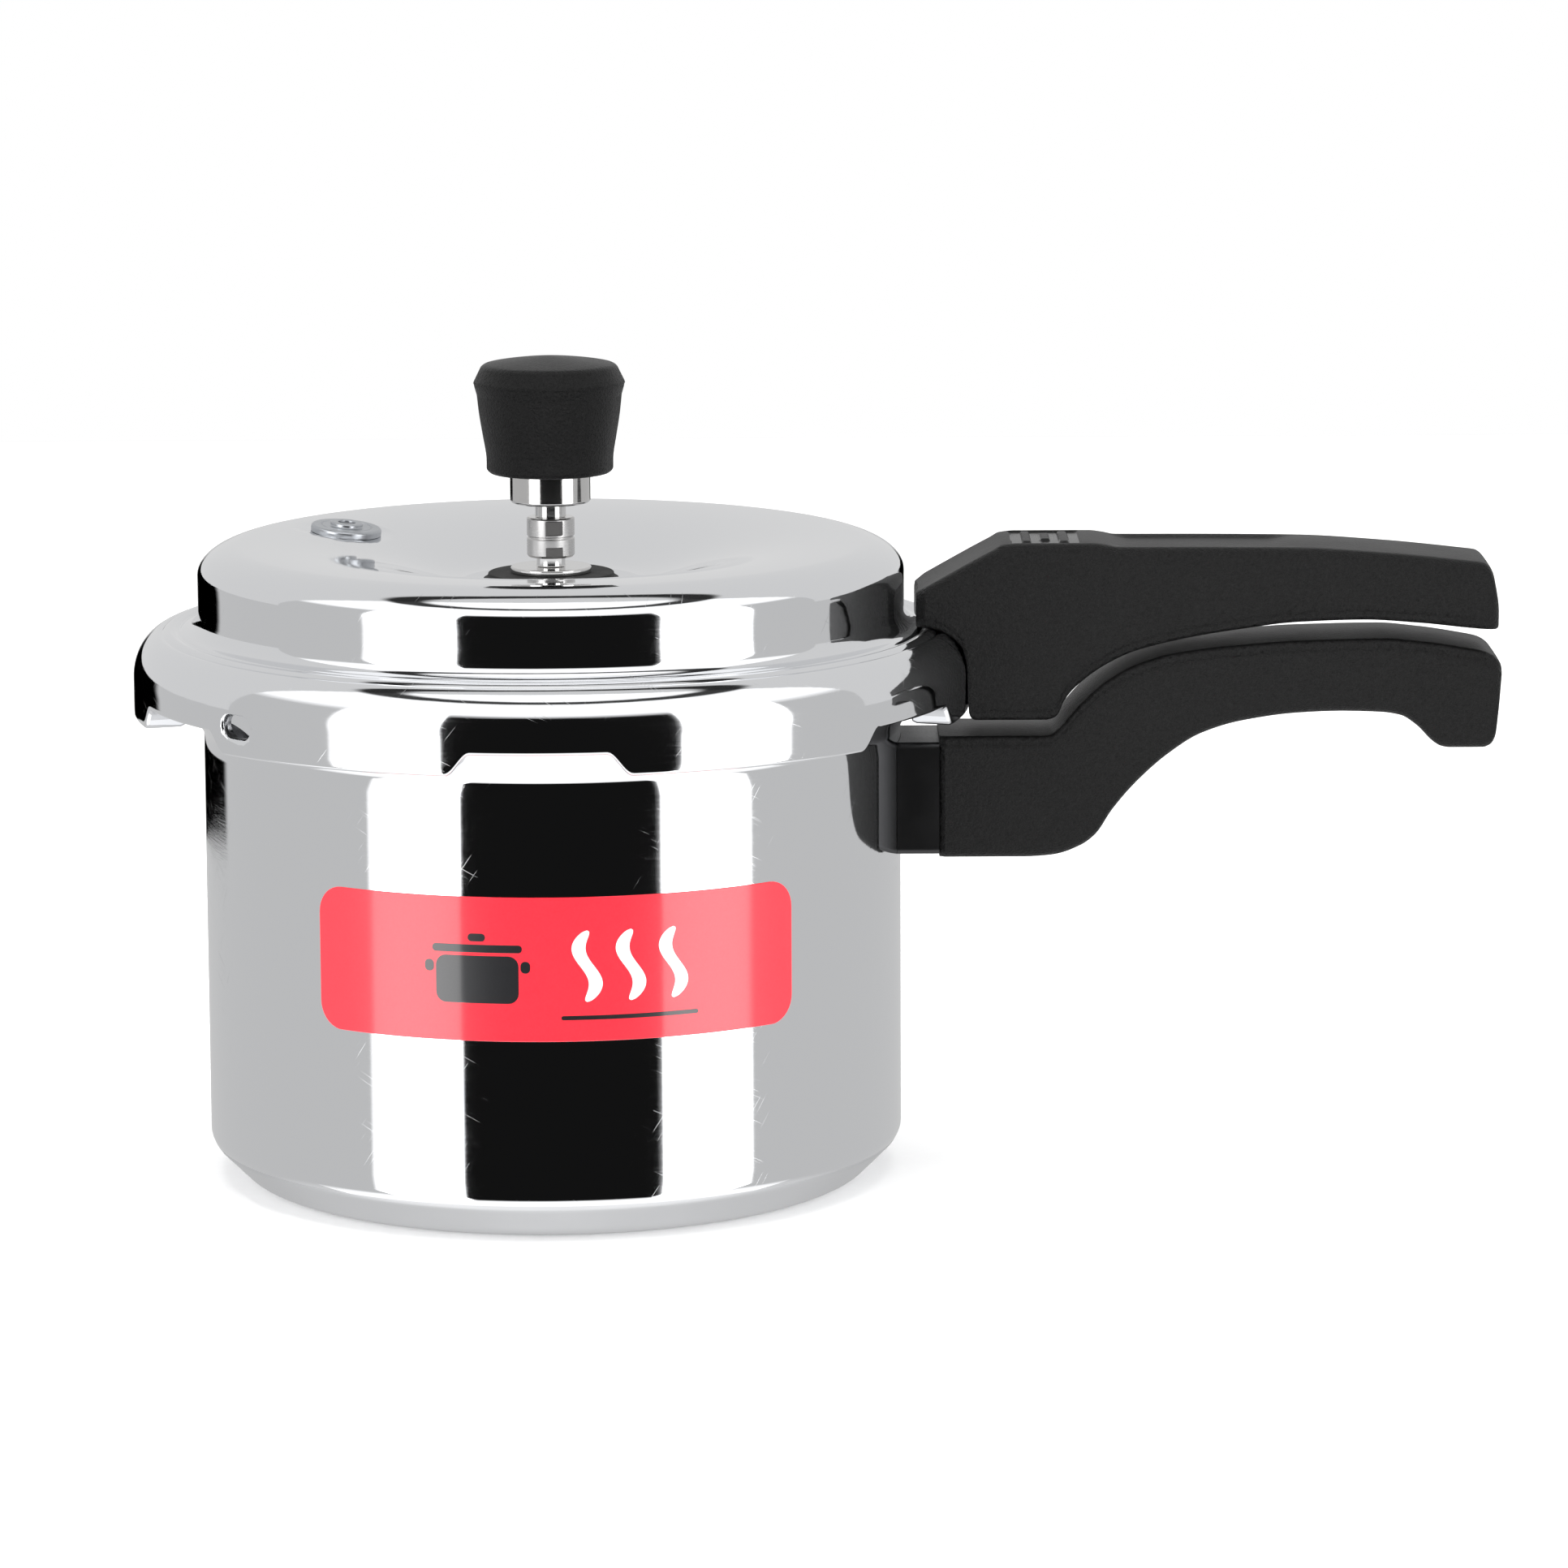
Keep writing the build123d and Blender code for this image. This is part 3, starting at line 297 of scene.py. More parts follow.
def rubber(name, colour):
    """Moulded nitrile: dull, nearly black, with a dusty bloom and a slight orange peel."""
    made, tree, shader = material(name, Base_Color=tone(colour), IOR=1.52, Specular_IOR_Level=0.35)
    place = add(tree, "TexCoord").outputs["Object"]
    bloom = add(tree, "TexNoise", {"Vector": place, "Scale": 1 / (6 * MM), "Detail": 4.0})
    rough = add(tree, "MapRange", {"Value": bloom.outputs["Fac"], "To Min": 0.55, "To Max": 0.8})
    tree.links.new(rough.outputs[0], shader.inputs["Roughness"])
    peel = add(tree, "TexNoise", {"Vector": place, "Scale": 1 / (0.4 * MM), "Detail": 2.0})
    bump = add(tree, "Bump", {"Height": peel.outputs["Fac"], "Strength": 0.3, "Distance": 0.05 * MM})
    tree.links.new(bump.outputs[0], shader.inputs["Normal"])
    return made


def vinyl(name, colour, deep):
    """Printed film: an even ink that is a little deeper in places, under a clear gloss coat."""
    made, tree, shader = material(name, Roughness=0.32, IOR=1.5, Coat_Weight=1.0, Coat_Roughness=0.07,
                                  Coat_IOR=1.5)
    place = add(tree, "TexCoord").outputs["Object"]
    ink = add(tree, "TexNoise", {"Vector": place, "Scale": 1 / (0.5 * MM), "Detail": 3.0})
    wash = add(tree, "Mix", {"Factor": ink.outputs["Fac"], 6: tone(colour), 7: tone(deep)}, data_type="RGBA")
    tree.links.new(wash.outputs[2], shader.inputs["Base Color"])
    ripple = add(tree, "TexNoise", {"Vector": place, "Scale": 1 / (9 * MM), "Detail": 2.0})
    bump = add(tree, "Bump", {"Height": ripple.outputs["Fac"], "Strength": 0.12, "Distance": 0.15 * MM})
    tree.links.new(bump.outputs[0], shader.inputs["Normal"])
    return made


turned_steel = polished("turned_steel", "#d4d3d2", 0.10, 0.06, 0.25, along=1.0)
ground_steel = polished("ground_steel", "#c4c3c2", 0.24, 0.10, 0.5, along=1.0)
rough_steel = polished("rough_ground_steel", "#6f6e6d", 0.36, 0.15, 1.0, along=160.0)
blued_steel = polished("blued_steel_guard", "#454546", 0.34, 0.14, 0.5, along=40.0)
plated_steel = polished("zinc_plated_steel", "#b9bcc0", 0.28, 0.12, 0.3, along=30.0)
turned_brass = polished("turned_brass", "#cfa55a", 0.22, 0.10, 0.35, along=1.0)
lead_alloy = polished("cast_fusible_alloy", "#8f9195", 0.42, 0.12, 0.6, along=30.0)
nitrile = rubber("nitrile_washer", "#141414")
gasket_rubber = rubber("nitrile_gasket", "#232324")
red_vinyl = vinyl("red_printed_vinyl", "#ff2a3c", "#f8182e")
white_ink = vinyl("white_ink", "#f6f6f6", "#eeeeee")
dark_ink = vinyl("charcoal_ink", "#1d1d1f", "#242427")
print(len(bpy.data.materials), "materials")

# %% [markdown]
# ## Surfaces from profiles
# Most of a cooker is turned or pressed round one axis, so most pieces start as a profile: points of radius
# and height, made of straight runs, arcs and smooth cubic curves. Turning the profile round the axis is one
# array operation: every profile point times the cosine and sine of every angle.

# %% Helpers for profiles


def run(start, end, count=2):
    """Straight run: start plus u times the difference, u from 0 to 1."""
    u = np.linspace(0, 1, count)[:, None]
    return np.array(start) * (1 - u) + np.array(end) * u


def arc(centre, radius, first, last, count=9):
    """Arc: centre plus radius times (cos, sin) of angles from first to last, in degrees."""
    angle = np.radians(np.linspace(first, last, count))
    return np.array(centre) + radius * np.stack([np.cos(angle), np.sin(angle)], 1)


def bend(start, end, leave, arrive, count=24):
    """Cubic curve with given end tangents: the Hermite weights of u times the points and the tangents."""
    u = np.linspace(0, 1, count)[:, None]
    start, end, leave, arrive = (np.array(v, float) for v in (start, end, leave, arrive))
    rise = 3 * u ** 2 - 2 * u ** 3
    return (1 - rise) * start + rise * end + (u ** 3 - 2 * u ** 2 + u) * leave + (u ** 3 - u ** 2) * arrive


def through(points, steps=10):
    """Smooth curve through points of any dimension: a cubic between each two, whose tangents are half the
    step between the points on either side."""
    points = np.array(points, float)
    slope = np.gradient(points, axis=0)
    u = np.linspace(0, 1, steps, endpoint=False)[:, None, None]
    rise = 3 * u ** 2 - 2 * u ** 3
    curve = ((1 - rise) * points[:-1] + rise * points[1:] + (u ** 3 - 2 * u ** 2 + u) * slope[:-1]
             + (u ** 3 - u ** 2) * slope[1:])
    flat = curve.transpose(1, 0, 2).reshape(-1, points.shape[1])
    return np.vstack([flat, points[-1:]])


def chain(*pieces):
    """Joins profile pieces end to end and drops points that repeat."""
    points = np.vstack([np.atleast_2d(piece) for piece in pieces])
    apart = np.linalg.norm(np.diff(points, axis=0), axis=1) > 1e-4
    return points[np.concatenate([[True], apart])]


def spun(profile, angles):
    """Surface of revolution: x = r cos a, y = r sin a, z = height, for every point and every angle."""
    radius, height = profile[:, :1], profile[:, 1:]
    return np.stack([radius * np.cos(angles), radius * np.sin(angles), height + 0 * angles], 2)


def turns(count):
    """Evenly spaced angles round a full turn, without the repeated last one."""
    return np.linspace(0, 2 * pi, count, endpoint=False)


# %% [markdown]
# ## From a grid to a mesh
# A grid of points becomes a mesh in one step. Corners that fall on one spot, as at a pole, are merged, and
# the normals are worked out again so that every closed surface faces outwards.

# %% Helpers that make a finished piece


def quads(rows, columns, ring_rows, ring_columns):
    """Corner numbers of the quads of a grid, closed round in either direction if asked."""
    i = np.arange(rows if ring_rows else rows - 1)[:, None]
    j = np.arange(columns if ring_columns else columns - 1)[None, :]
    down, right = (i + 1) % rows, (j + 1) % columns
    return np.stack([i * columns + j, i * columns + right, down * columns + right, down * columns + j], 2)


def mesh_from(name, grids, ring_rows=False, ring_columns=True, sharp=35):
    """Mesh of one or more grids in millimetres, cleaned, smooth, with creases sharper than an angle kept."""
    points, faces, start = [], [], 0
    for grid in grids:
        rows, columns = grid.shape[:2]
        points.append(grid.reshape(-1, 3))
        faces.append(quads(rows, columns, ring_rows, ring_columns).reshape(-1, 4) + start)
        start += rows * columns
    mesh = bpy.data.meshes.new(name)
    mesh.from_pydata((np.vstack(points) * MM).tolist(), [], np.vstack(faces).tolist())
    shape = bmesh.new()
    shape.from_mesh(mesh)
    bmesh.ops.remove_doubles(shape, verts=shape.verts, dist=0.002 * MM)
    bmesh.ops.recalc_face_normals(shape, faces=shape.faces)
    shape.to_mesh(mesh)
    shape.free()
    mesh.polygons.foreach_set("use_smooth", np.ones(len(mesh.polygons), bool))
    mesh.set_sharp_from_angle(angle=radians(sharp))
    return mesh


def piece(name, mesh, body, slot, finishes, stands_for=()):
    """Puts a mesh in the scene as a piece of the cooker, on its body, in its finish."""
    made = bpy.data.objects.new(name, mesh)
    bpy.context.scene.collection.objects.link(made)
    for finish in finishes:
        mesh.materials.append(finish)
    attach(made, body)
    if stands_for:
        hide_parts(*stands_for)
    print(name, len(mesh.polygons), "faces")
    return made


def paint(mesh, choose):
    """Gives each face a material number: choose gets the faces' middles in millimetres, as x, y, z arrays."""
    middles = np.zeros(len(mesh.polygons) * 3, np.float32)
    mesh.polygons.foreach_get("center", middles)
    x, y, z = middles.reshape(-1, 3).T / MM
    mesh.polygons.foreach_set("material_index", choose(x, y, z).astype(np.int32))


# %% [markdown]
# ## The pot
# A pot like this is deep drawn from one disc of sheet and its foot is coned in so that it sits in the
# flame. One closed profile holds the base, the cone, the wall, the rolled rim and the inside. The cone was
# faced on a lathe and left satin, and the wall was buffed, so faces get one of three finishes by where they
# lie.

# %% Make the pot
POT_SIDES = 320
SHEET = 3.0                 # millimetres of pressed sheet
FOOT_CONE = 10.0            # height and width of the cone at the foot
RIM_DEPTH = 11.0            # rolled rim, from the pot's top down
LUG_REACH = 7.8             # lug's tip beyond the rolled rim
LUG_THICKNESS = 3.5

pot_radius = pot_high[1]
pot_top = pot_high[2]
rim_low, rim_high = span("pot_rim")
rim_radius = rim_high[0] - LUG_REACH
lug_low = pot_top - RIM_DEPTH
inside = pot_radius - SHEET

pot_profile = chain(
    (0, 0), run((20, 0), (pot_radius - FOOT_CONE - 2.5, 0), 6),
    bend((pot_radius - FOOT_CONE - 2.5, 0), (pot_radius - FOOT_CONE + 1.8, 1.8), (4, 0), (3.2, 3.2), 8),
    run((pot_radius - FOOT_CONE + 1.8, 1.8), (pot_radius - 1.6, FOOT_CONE - 1.6), 8),
    bend((pot_radius - 1.6, FOOT_CONE - 1.6), (pot_radius, FOOT_CONE + 2.0), (2.2, 2.2), (0, 3.2), 8),
    run((pot_radius, FOOT_CONE + 2.0), (pot_radius, rim_low[2]), 30),
    bend((pot_radius, rim_low[2]), (rim_radius, lug_low + 1), (0, 5), (2, 6), 10),
    run((rim_radius, lug_low + 1), (rim_radius, pot_top - 2), 4),
    arc((rim_radius - 2, pot_top - 2), 2, 0, 90, 7), arc((inside + 2, pot_top - 2), 2, 90, 180, 7),
    run((inside, pot_top - 2), (inside, FOOT_CONE + 6), 24),
    bend((inside, FOOT_CONE + 6), (inside - 13, SHEET), (0, -14), (-14, 0), 14),
    run((inside - 13, SHEET), (20, SHEET), 8), (0, SHEET))
pot_mesh = mesh_from("pot", [spun(pot_profile, turns(POT_SIDES))])


def pot_finish(x, y, z):
    """1 for the satin base and cone, 2 for the inside, 0 for the buffed outside."""
    radius = np.hypot(x, y)
    under = z < np.clip(radius - pot_radius + FOOT_CONE + 2, 2, FOOT_CONE - 0.4)
    return np.select([under, radius < inside + 0.1], [1, 2], 0)


paint(pot_mesh, pot_finish)
piece("pot", pot_mesh, "pot", "pot_aluminium", [buffed_aluminium, satin_aluminium, inner_aluminium],
      ["pot_body"])

# %% [markdown]
# Six lugs stand out below the rim for the lid to lock under. Each is a short bar with a rounded section
# bent round the pot's axis: the section at every angle, with both ends drawn in to a point to close them.

# %% Make the lugs
LUGS = 6
LUG_HALF_ANGLE = 9.0


def rounded_box(low, high, radius, count=5):
    """Closed outline of a rectangle from corner low to corner high with round corners."""
    (left, base), (right, top) = low, high
    return chain(arc((right - radius, base + radius), radius, -90, 0, count),
                 arc((right - radius, top - radius), radius, 0, 90, count),
                 arc((left + radius, top - radius), radius, 90, 180, count),
                 arc((left + radius, base + radius), radius, 180, 270, count))[:-1]


def bent_bar(outline, first, last, count=16):
    """A section outline swept round the axis from one angle to another, its ends closed to a point."""
    angles = np.radians(np.concatenate([[first], np.linspace(first, last, count), [last]]))
    scale = np.concatenate([[0], np.ones(count), [0]])[:, None, None]
    middle = outline.mean(0)
    sections = middle + (outline - middle) * scale
    radius, height = sections[..., 0], sections[..., 1]
    return np.stack([radius * np.cos(angles)[:, None], radius * np.sin(angles)[:, None], height], 2)


lug_outline = rounded_box((rim_radius - 1, lug_low), (rim_high[0], lug_low + LUG_THICKNESS), 0.9)
lug_bars = [bent_bar(lug_outline, 60 * k - LUG_HALF_ANGLE, 60 * k + LUG_HALF_ANGLE) for k in range(LUGS)]
piece("pot_lugs", mesh_from("pot_lugs", lug_bars), "pot", "pot_aluminium", [buffed_aluminium], ["pot_rim"])

# %% [markdown]
# ## The lid
# The lid is one pressing. Its crown is dished, so the middle lies nearly a centimetre below the ridge; a
# shoulder rolls into a short wall, a foot fillet opens into the brim, and the brim rolls over into the
# skirt. The skirt's low edge is the bayonet: six stretches turn in under the pot's lugs, and six gaps
# between them let the lid drop on. So the upper profile is turned as before, while the low edge is a
# function of both the profile and the angle.

# %% Work out the lid's section
brim_z = span("lid_gasket")[1][2] + SHEET
dish_z = seat_low[2]
ridge_z = lid_high[2]
skirt = lid_high[1]
edge_z = lid_low[2]
HOLE = 4.05                 # radius of the vent's hole
DISH_FLAT = 22.0            # radius of the flat in the middle of the dish
RIDGE = 80.0                # radius of the highest ring
CROWN = 91.0                # radius of the crown's wall
SHOULDER_Z = ridge_z - 7.5
FOOT_FILLET = 4.0
BRIM_FLAT = 98.0            # radius where the flat brim starts to roll over
BRIM_DROP = 12.0            # height of that roll
SHOULDER_PULL = 13.3        # length of the shoulder's end tangents
BRIM_PULL = 18.6            # length of the brim's
sweep = float(np.hypot(RIDGE - DISH_FLAT, ridge_z - dish_z))


def crown_section(inset):
    """Lid section from the vent's hole to the skirt, moved inwards by inset."""
    crown, edge = CROWN - inset, skirt - inset
    return chain(
        run((HOLE, dish_z - inset), (DISH_FLAT, dish_z - inset), 6),
        bend((DISH_FLAT, dish_z - inset), (RIDGE, ridge_z - inset), (0.5 * sweep, 0), (1.8 * sweep, 0), 40),
        bend((RIDGE, ridge_z - inset), (crown, SHOULDER_Z), (SHOULDER_PULL - inset, 0),
             (0, inset - SHOULDER_PULL), 18),
        run((crown, SHOULDER_Z), (crown, brim_z + FOOT_FILLET), 5),
        arc((CROWN + FOOT_FILLET, brim_z + FOOT_FILLET), FOOT_FILLET + inset, 180, 270, 9),
        run((CROWN + FOOT_FILLET, brim_z - inset), (BRIM_FLAT, brim_z - inset), 12),
        bend((BRIM_FLAT, brim_z - inset), (edge, brim_z - BRIM_DROP), (BRIM_PULL - inset, 0),
             (0, inset - BRIM_PULL), 32))


BRIM_RINGS = ((96.0, -0.55, 0.7), (98.4, 0.3, 0.7), (100.4, -0.45, 0.5))  # radius, rise and width
outside = crown_section(0)
for ring_radius, ring_rise, ring_width in BRIM_RINGS:
    on_brim = (outside[:, 1] < brim_z + 1) & (outside[:, 0] > CROWN)
    swell = ring_rise * np.exp(-((outside[:, 0] - ring_radius) / ring_width) ** 2)
    outside[:, 1] += swell * on_brim
print("lid section:", len(outside), "points outside")

# %% Work out the bayonet edge
GAP_HALF_TOP = 9.0          # half the angle of a gap where it is narrowest
GAP_HALF_LOW = 12.4
GAP_RISE = 5.4
HEM = 1.0                   # radius of the skirt's turned edge
LIP = 8.0                   # how far a lug's lip runs in past the hem


def fade(value, start, end):
    """Smooth step from 0 to 1 between start and end: 3u squared less 2u cubed."""
    u = np.clip((value - start) / (end - start), 0, 1)
    return 3 * u ** 2 - 2 * u ** 3


half = np.concatenate([np.linspace(0, 8, 7)[:-1], np.linspace(8, 13.5, 17)[:-1], np.linspace(13.5, 30, 12)])
one_gap = np.concatenate([-half[::-1], half[1:-1]])
lid_angles = np.concatenate([one_gap + 30 + 60 * k for k in range(LUGS)])
from_gap = np.abs(one_gap[None, :].repeat(LUGS, 0).ravel())
lug_share = fade(from_gap, GAP_HALF_TOP, GAP_HALF_LOW)
low_edge = edge_z + GAP_RISE * (1 - lug_share)
lip = LIP * np.sqrt(lug_share) + 0.4
phi = np.radians(lid_angles)


def band(radius, height):
    """One row of the bayonet's grid: a radius and a height for every angle."""
    radius = radius + 0 * phi
    height = height + 0 * phi
    return np.stack([radius * np.cos(phi), radius * np.sin(phi), height], 1)[None]


skirt_top = brim_z - BRIM_DROP
rows = [band(skirt, skirt_top + (low_edge + HEM - skirt_top) * u) for u in np.linspace(0, 1, 6)[1:]]
for turn in np.radians([18, 36, 54, 72, 90]):
    rows.append(band(skirt - HEM + HEM * cos(turn), low_edge + HEM - HEM * sin(turn)))
hem_radius = skirt - HEM
rows += [band(hem_radius - lip * 0.5, low_edge), band(hem_radius - lip, low_edge),
         band(hem_radius - lip - 1.2, low_edge + 0.5), band(hem_radius - lip - 1.5, low_edge + 1.5),
         band(hem_radius - lip - 1.2, low_edge + 2.5), band(hem_radius - lip, low_edge + SHEET),
         band(np.minimum(hem_radius - lip * 0.2, skirt - SHEET - 0.8), low_edge + SHEET),
         band(skirt - SHEET, low_edge + SHEET + 0.9), band(skirt - SHEET, skirt_top)]
lid_grid = np.concatenate([spun(outside, phi), *rows, spun(crown_section(SHEET)[::-1], phi)])
print("lid grid", lid_grid.shape)

# %% [markdown]
# The safety valve sits in a small flat that is coined into the slope of the crown. Its plane comes from the
# CAD washer under it: the washer's points lie in a disc, and the direction in which they spread least is
# the disc's axis. Lid points near the axis are then let down onto that plane.

# %% Make the lid
DIMPLE = 11.0               # radius of the coined flat
DIMPLE_DEPTH = 0.8
SLOT_ANGLE = -134.9         # the gasket release window in the skirt, where the gasket can bulge out
SLOT_LENGTH = 10.3
SLOT_HEIGHT = 5.9
SLOT_Z = lid_low[2] + 7.6


def disc_axis(node):
    """Middle and upward axis of a thin round CAD piece: the direction of least spread of its points."""
    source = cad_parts[node]
    points = np.zeros(len(source.data.vertices) * 3)
    source.data.vertices.foreach_get("co", points)
    place = source.matrix_world
    points = points.reshape(-1, 3) @ np.array(place.to_3x3()).T + np.array(place.translation)
    middle = (points.min(0) + points.max(0)) / 2
    axis = np.linalg.svd(points - points.mean(0), full_matrices=False)[2][2]
    return middle / MM, axis * np.sign(axis[2])


valve_middle, valve_axis = disc_axis("safety_valve_washer")
valve_radius = np.hypot(*valve_middle[:2])
slope_height = np.interp(valve_radius, outside[:, 0], outside[:, 1])
valve_place = valve_middle + valve_axis * (slope_height - valve_middle[2]) / valve_axis[2]
print("safety valve axis", valve_axis.round(3), "on the slope at", valve_place.round(2))


def flattened(grid):
    """Moves points near the valve's axis along it, onto one plane outside and one a sheet lower inside."""
    offset = grid - valve_place
    height = offset @ valve_axis
    flat = offset - height[..., None] * valve_axis
    near = 1 - fade(np.linalg.norm(flat, axis=2), DIMPLE - 0.6, DIMPLE + 1.2)
    target = np.where(height > -SHEET / 2 - 0.4, -DIMPLE_DEPTH, -DIMPLE_DEPTH - SHEET + 0.4)
    near = near * (np.abs(height) < 8)
    return grid + (near * (target - height))[..., None] * valve_axis


def lid_finish(x, y, z):
    """1 for the satin inside, 0 for the buffed outside."""
    radius = np.hypot(x, y)
    below = z < np.interp(radius + 0.6, outside[:, 0], outside[:, 1]) - 1.5
    return np.where(below & (radius < hem_radius + 0.1) & (z > edge_z + 2.8), 1, 0)


lid_mesh = mesh_from("lid", [flattened(lid_grid)], ring_rows=True)
window_outline = chain(arc((SLOT_LENGTH / 2 - SLOT_HEIGHT / 2, 0), SLOT_HEIGHT / 2, -90, 90, 13),
                       arc((SLOT_HEIGHT / 2 - SLOT_LENGTH / 2, 0), SLOT_HEIGHT / 2, 90, 270, 13))
window_rows = []
for depth, size in ((-6, 0), (-6, 1), (-0.8, 1), (0.1, 1.12), (4, 1.12), (4, 0)):
    across, up = (window_outline * size).T
    window_rows.append(np.stack([skirt + depth + 0 * up, across, up + SLOT_Z], 1))
turned_window = np.array(window_rows) @ np.array(Matrix.Rotation(radians(SLOT_ANGLE), 3, "Z")).T
cutter = bpy.data.objects.new("window_cutter", mesh_from("window_cutter", [turned_window]))
draft = bpy.data.objects.new("lid_draft", lid_mesh)
for thing in (cutter, draft):
    bpy.context.scene.collection.objects.link(thing)
cut = draft.modifiers.new("window", "BOOLEAN")
cut.object = cutter
bpy.context.view_layer.update()
cut_mesh = bpy.data.meshes.new_from_object(draft.evaluated_get(bpy.context.evaluated_depsgraph_get()))
cut_mesh.name = "lid"
for thing in (cutter, draft):
    bpy.data.objects.remove(thing)
paint(cut_mesh, lid_finish)
piece("lid", cut_mesh, "lid", "lid_aluminium", [buffed_aluminium, inner_aluminium], ["lid_shell"])

# %% [markdown]
# ## The vent
# The vent is turned from bar: a flange that clamps the lid, a slim neck, a collar with a V groove and a
# long tip that the weight drops over. Two small flats are ground on the front of the collar, one below the
# groove and one above it. A flat is where the radius can't pass a plane: it is cut down to the plane's
# distance divided by the cosine of the angle from it.

# %% Make the vent
FLANGE_THICKNESS = 1.6
NECK_HEIGHT = 2.5
COLLAR_HEIGHT = 10.3
COLLAR = 6.15               # radii of the collar, the tip, the bore and the neck
TIP = 4.0
BORE = 1.6
NECK = 3.7
GROOVE = 0.45
FLAT_ANGLE = -79.0
FLAT_DEPTH = 0.42
flange_z = seat_high[2]
flange_radius = vent_high[0]
flange_top = flange_z + FLANGE_THICKNESS
collar_z = flange_top + NECK_HEIGHT
collar_top = collar_z + COLLAR_HEIGHT
collar_mid = (collar_z + collar_top) / 2
FLATS = ((collar_z + 0.1, collar_z + 2.9), (collar_top - 4.3, collar_top - 0.6))

vent_profile = chain(
    (BORE, vent_low[2]), (TIP - 0.5, vent_low[2]), (TIP, vent_low[2] + 0.5),
    run((TIP, vent_low[2] + 1), (TIP, flange_z), 6),
    (flange_radius - 0.2, flange_z), arc((flange_radius - 0.3, flange_z + 0.3), 0.3, -90, 0, 4),
    arc((flange_radius - 0.4, flange_top - 0.4), 0.4, 0, 90, 5),
    run((flange_radius - 0.5, flange_top), (NECK + 0.5, flange_top), 6),
    arc((NECK + 0.4, flange_top + 0.4), 0.4, 270, 180, 4), (NECK, collar_z), (COLLAR - 0.5, collar_z),
    (COLLAR, collar_z + 0.6), run((COLLAR, collar_z + 0.65), (COLLAR, collar_mid - GROOVE), 28),
    (COLLAR - GROOVE + 0.15, collar_mid - 0.12), (COLLAR - GROOVE + 0.15, collar_mid + 0.12),
    run((COLLAR, collar_mid + GROOVE), (COLLAR, collar_top - 0.4), 26), (COLLAR - 0.4, collar_top),
    (TIP + 0.1, collar_top), run((TIP, collar_top + 0.1), (TIP, vent_high[2] - 1.5), 5),
    (TIP - 1.5, vent_high[2]), (BORE, vent_high[2]))
vent_grid = spun(vent_profile, turns(256))
vent_radius = np.hypot(vent_grid[..., 0], vent_grid[..., 1])
from_flat = np.cos(turns(256) - radians(FLAT_ANGLE))
plane_radius = np.where(from_flat > 0.5, (COLLAR - FLAT_DEPTH) / np.maximum(from_flat, 0.5), 1e3)[None, :]
in_flat = sum((vent_grid[..., 2] > low) & (vent_grid[..., 2] < high) for low, high in FLATS)
ground_down = np.where(in_flat, np.minimum(1, plane_radius / vent_radius), 1)
vent_grid[..., :2] *= ground_down[..., None]
vent_mesh = mesh_from("vent", [vent_grid], ring_rows=True)


def vent_finish(x, y, z):
    """1 for the satin collar, 2 for the ground flats on it, 0 for the polished rest."""
    collar = (z > collar_z - 0.2) & (z < collar_top)
    towards_flat = x * cos(radians(FLAT_ANGLE)) + y * sin(radians(FLAT_ANGLE))
    ground = collar & (np.hypot(x, y) < COLLAR - 0.02) & (towards_flat > 5)
    return np.select([ground & (np.abs(z - collar_mid) > 0.6), collar], [2, 1], 0)


paint(vent_mesh, vent_finish)
piece("vent", vent_mesh, "lid", "vent_steel", [turned_steel, ground_steel, rough_steel], ["vent_tube"])

washer_profile = chain(
    (TIP + 0.2, seat_low[2]), run((10, seat_low[2]), (seat_high[0] - 0.2, seat_low[2]), 3),
    arc((seat_high[0] - 0.25, seat_low[2] + 0.25), 0.25, -90, 0, 4),
    bend((seat_high[0], seat_low[2] + 0.3), (seat_high[0] - 1.2, seat_high[2] - 0.15), (-1.6, 0.6), (0, 2.0),
         10),
    (seat_high[0] - 1.4, seat_high[2]), run((seat_high[0] - 2, seat_high[2]), (TIP + 0.2, seat_high[2]), 5))
piece("vent_washer", mesh_from("vent_washer", [spun(washer_profile, turns(160))], ring_rows=True), "lid",
      "washer_rubber", [nitrile], ["vent_washer_outer"])

# %% [markdown]
# ## The weight
# The weight's core is steel: the bright skirt below the cap, a stem up inside it, and a bore that drops
# over the vent. The cap is moulded phenolic: a hollow flank, its widest ring near the top with a thin flash
# line where the mould parted, and a shallow dome.

# %% Make the weight
core_skirt_top = cap_low[2]
core_radius = core_high[0]
STEM = 8.0
core_bore = 4.3
bore_top = vent_high[2] + 0.3
core_profile = chain(
    (core_bore + 0.3, core_low[2]), run((core_bore + 0.4, core_low[2]), (core_radius - 0.7, core_low[2]), 4),
    bend((core_radius - 0.7, core_low[2]), (core_radius, core_low[2] + 0.7), (0.7, 0), (0, 0.7), 6),
    run((core_radius, core_low[2] + 0.8), (core_radius, core_skirt_top - 0.02), 10),
    run((core_radius - 0.1, core_skirt_top), (STEM, core_skirt_top), 3),
    run((STEM, core_skirt_top + 0.1), (STEM, core_high[2]), 5),
    (1.5, core_high[2]), (1.5, bore_top + 0.05), (core_bore, bore_top),
    run((core_bore, bore_top - 0.1), (core_bore, core_low[2] + 0.4), 8))
core_mesh = mesh_from("weight_core_turned", [spun(core_profile, turns(192))], ring_rows=True)
piece("weight_core_turned", core_mesh, "weight", "core_steel", [turned_steel], ["weight_core"])

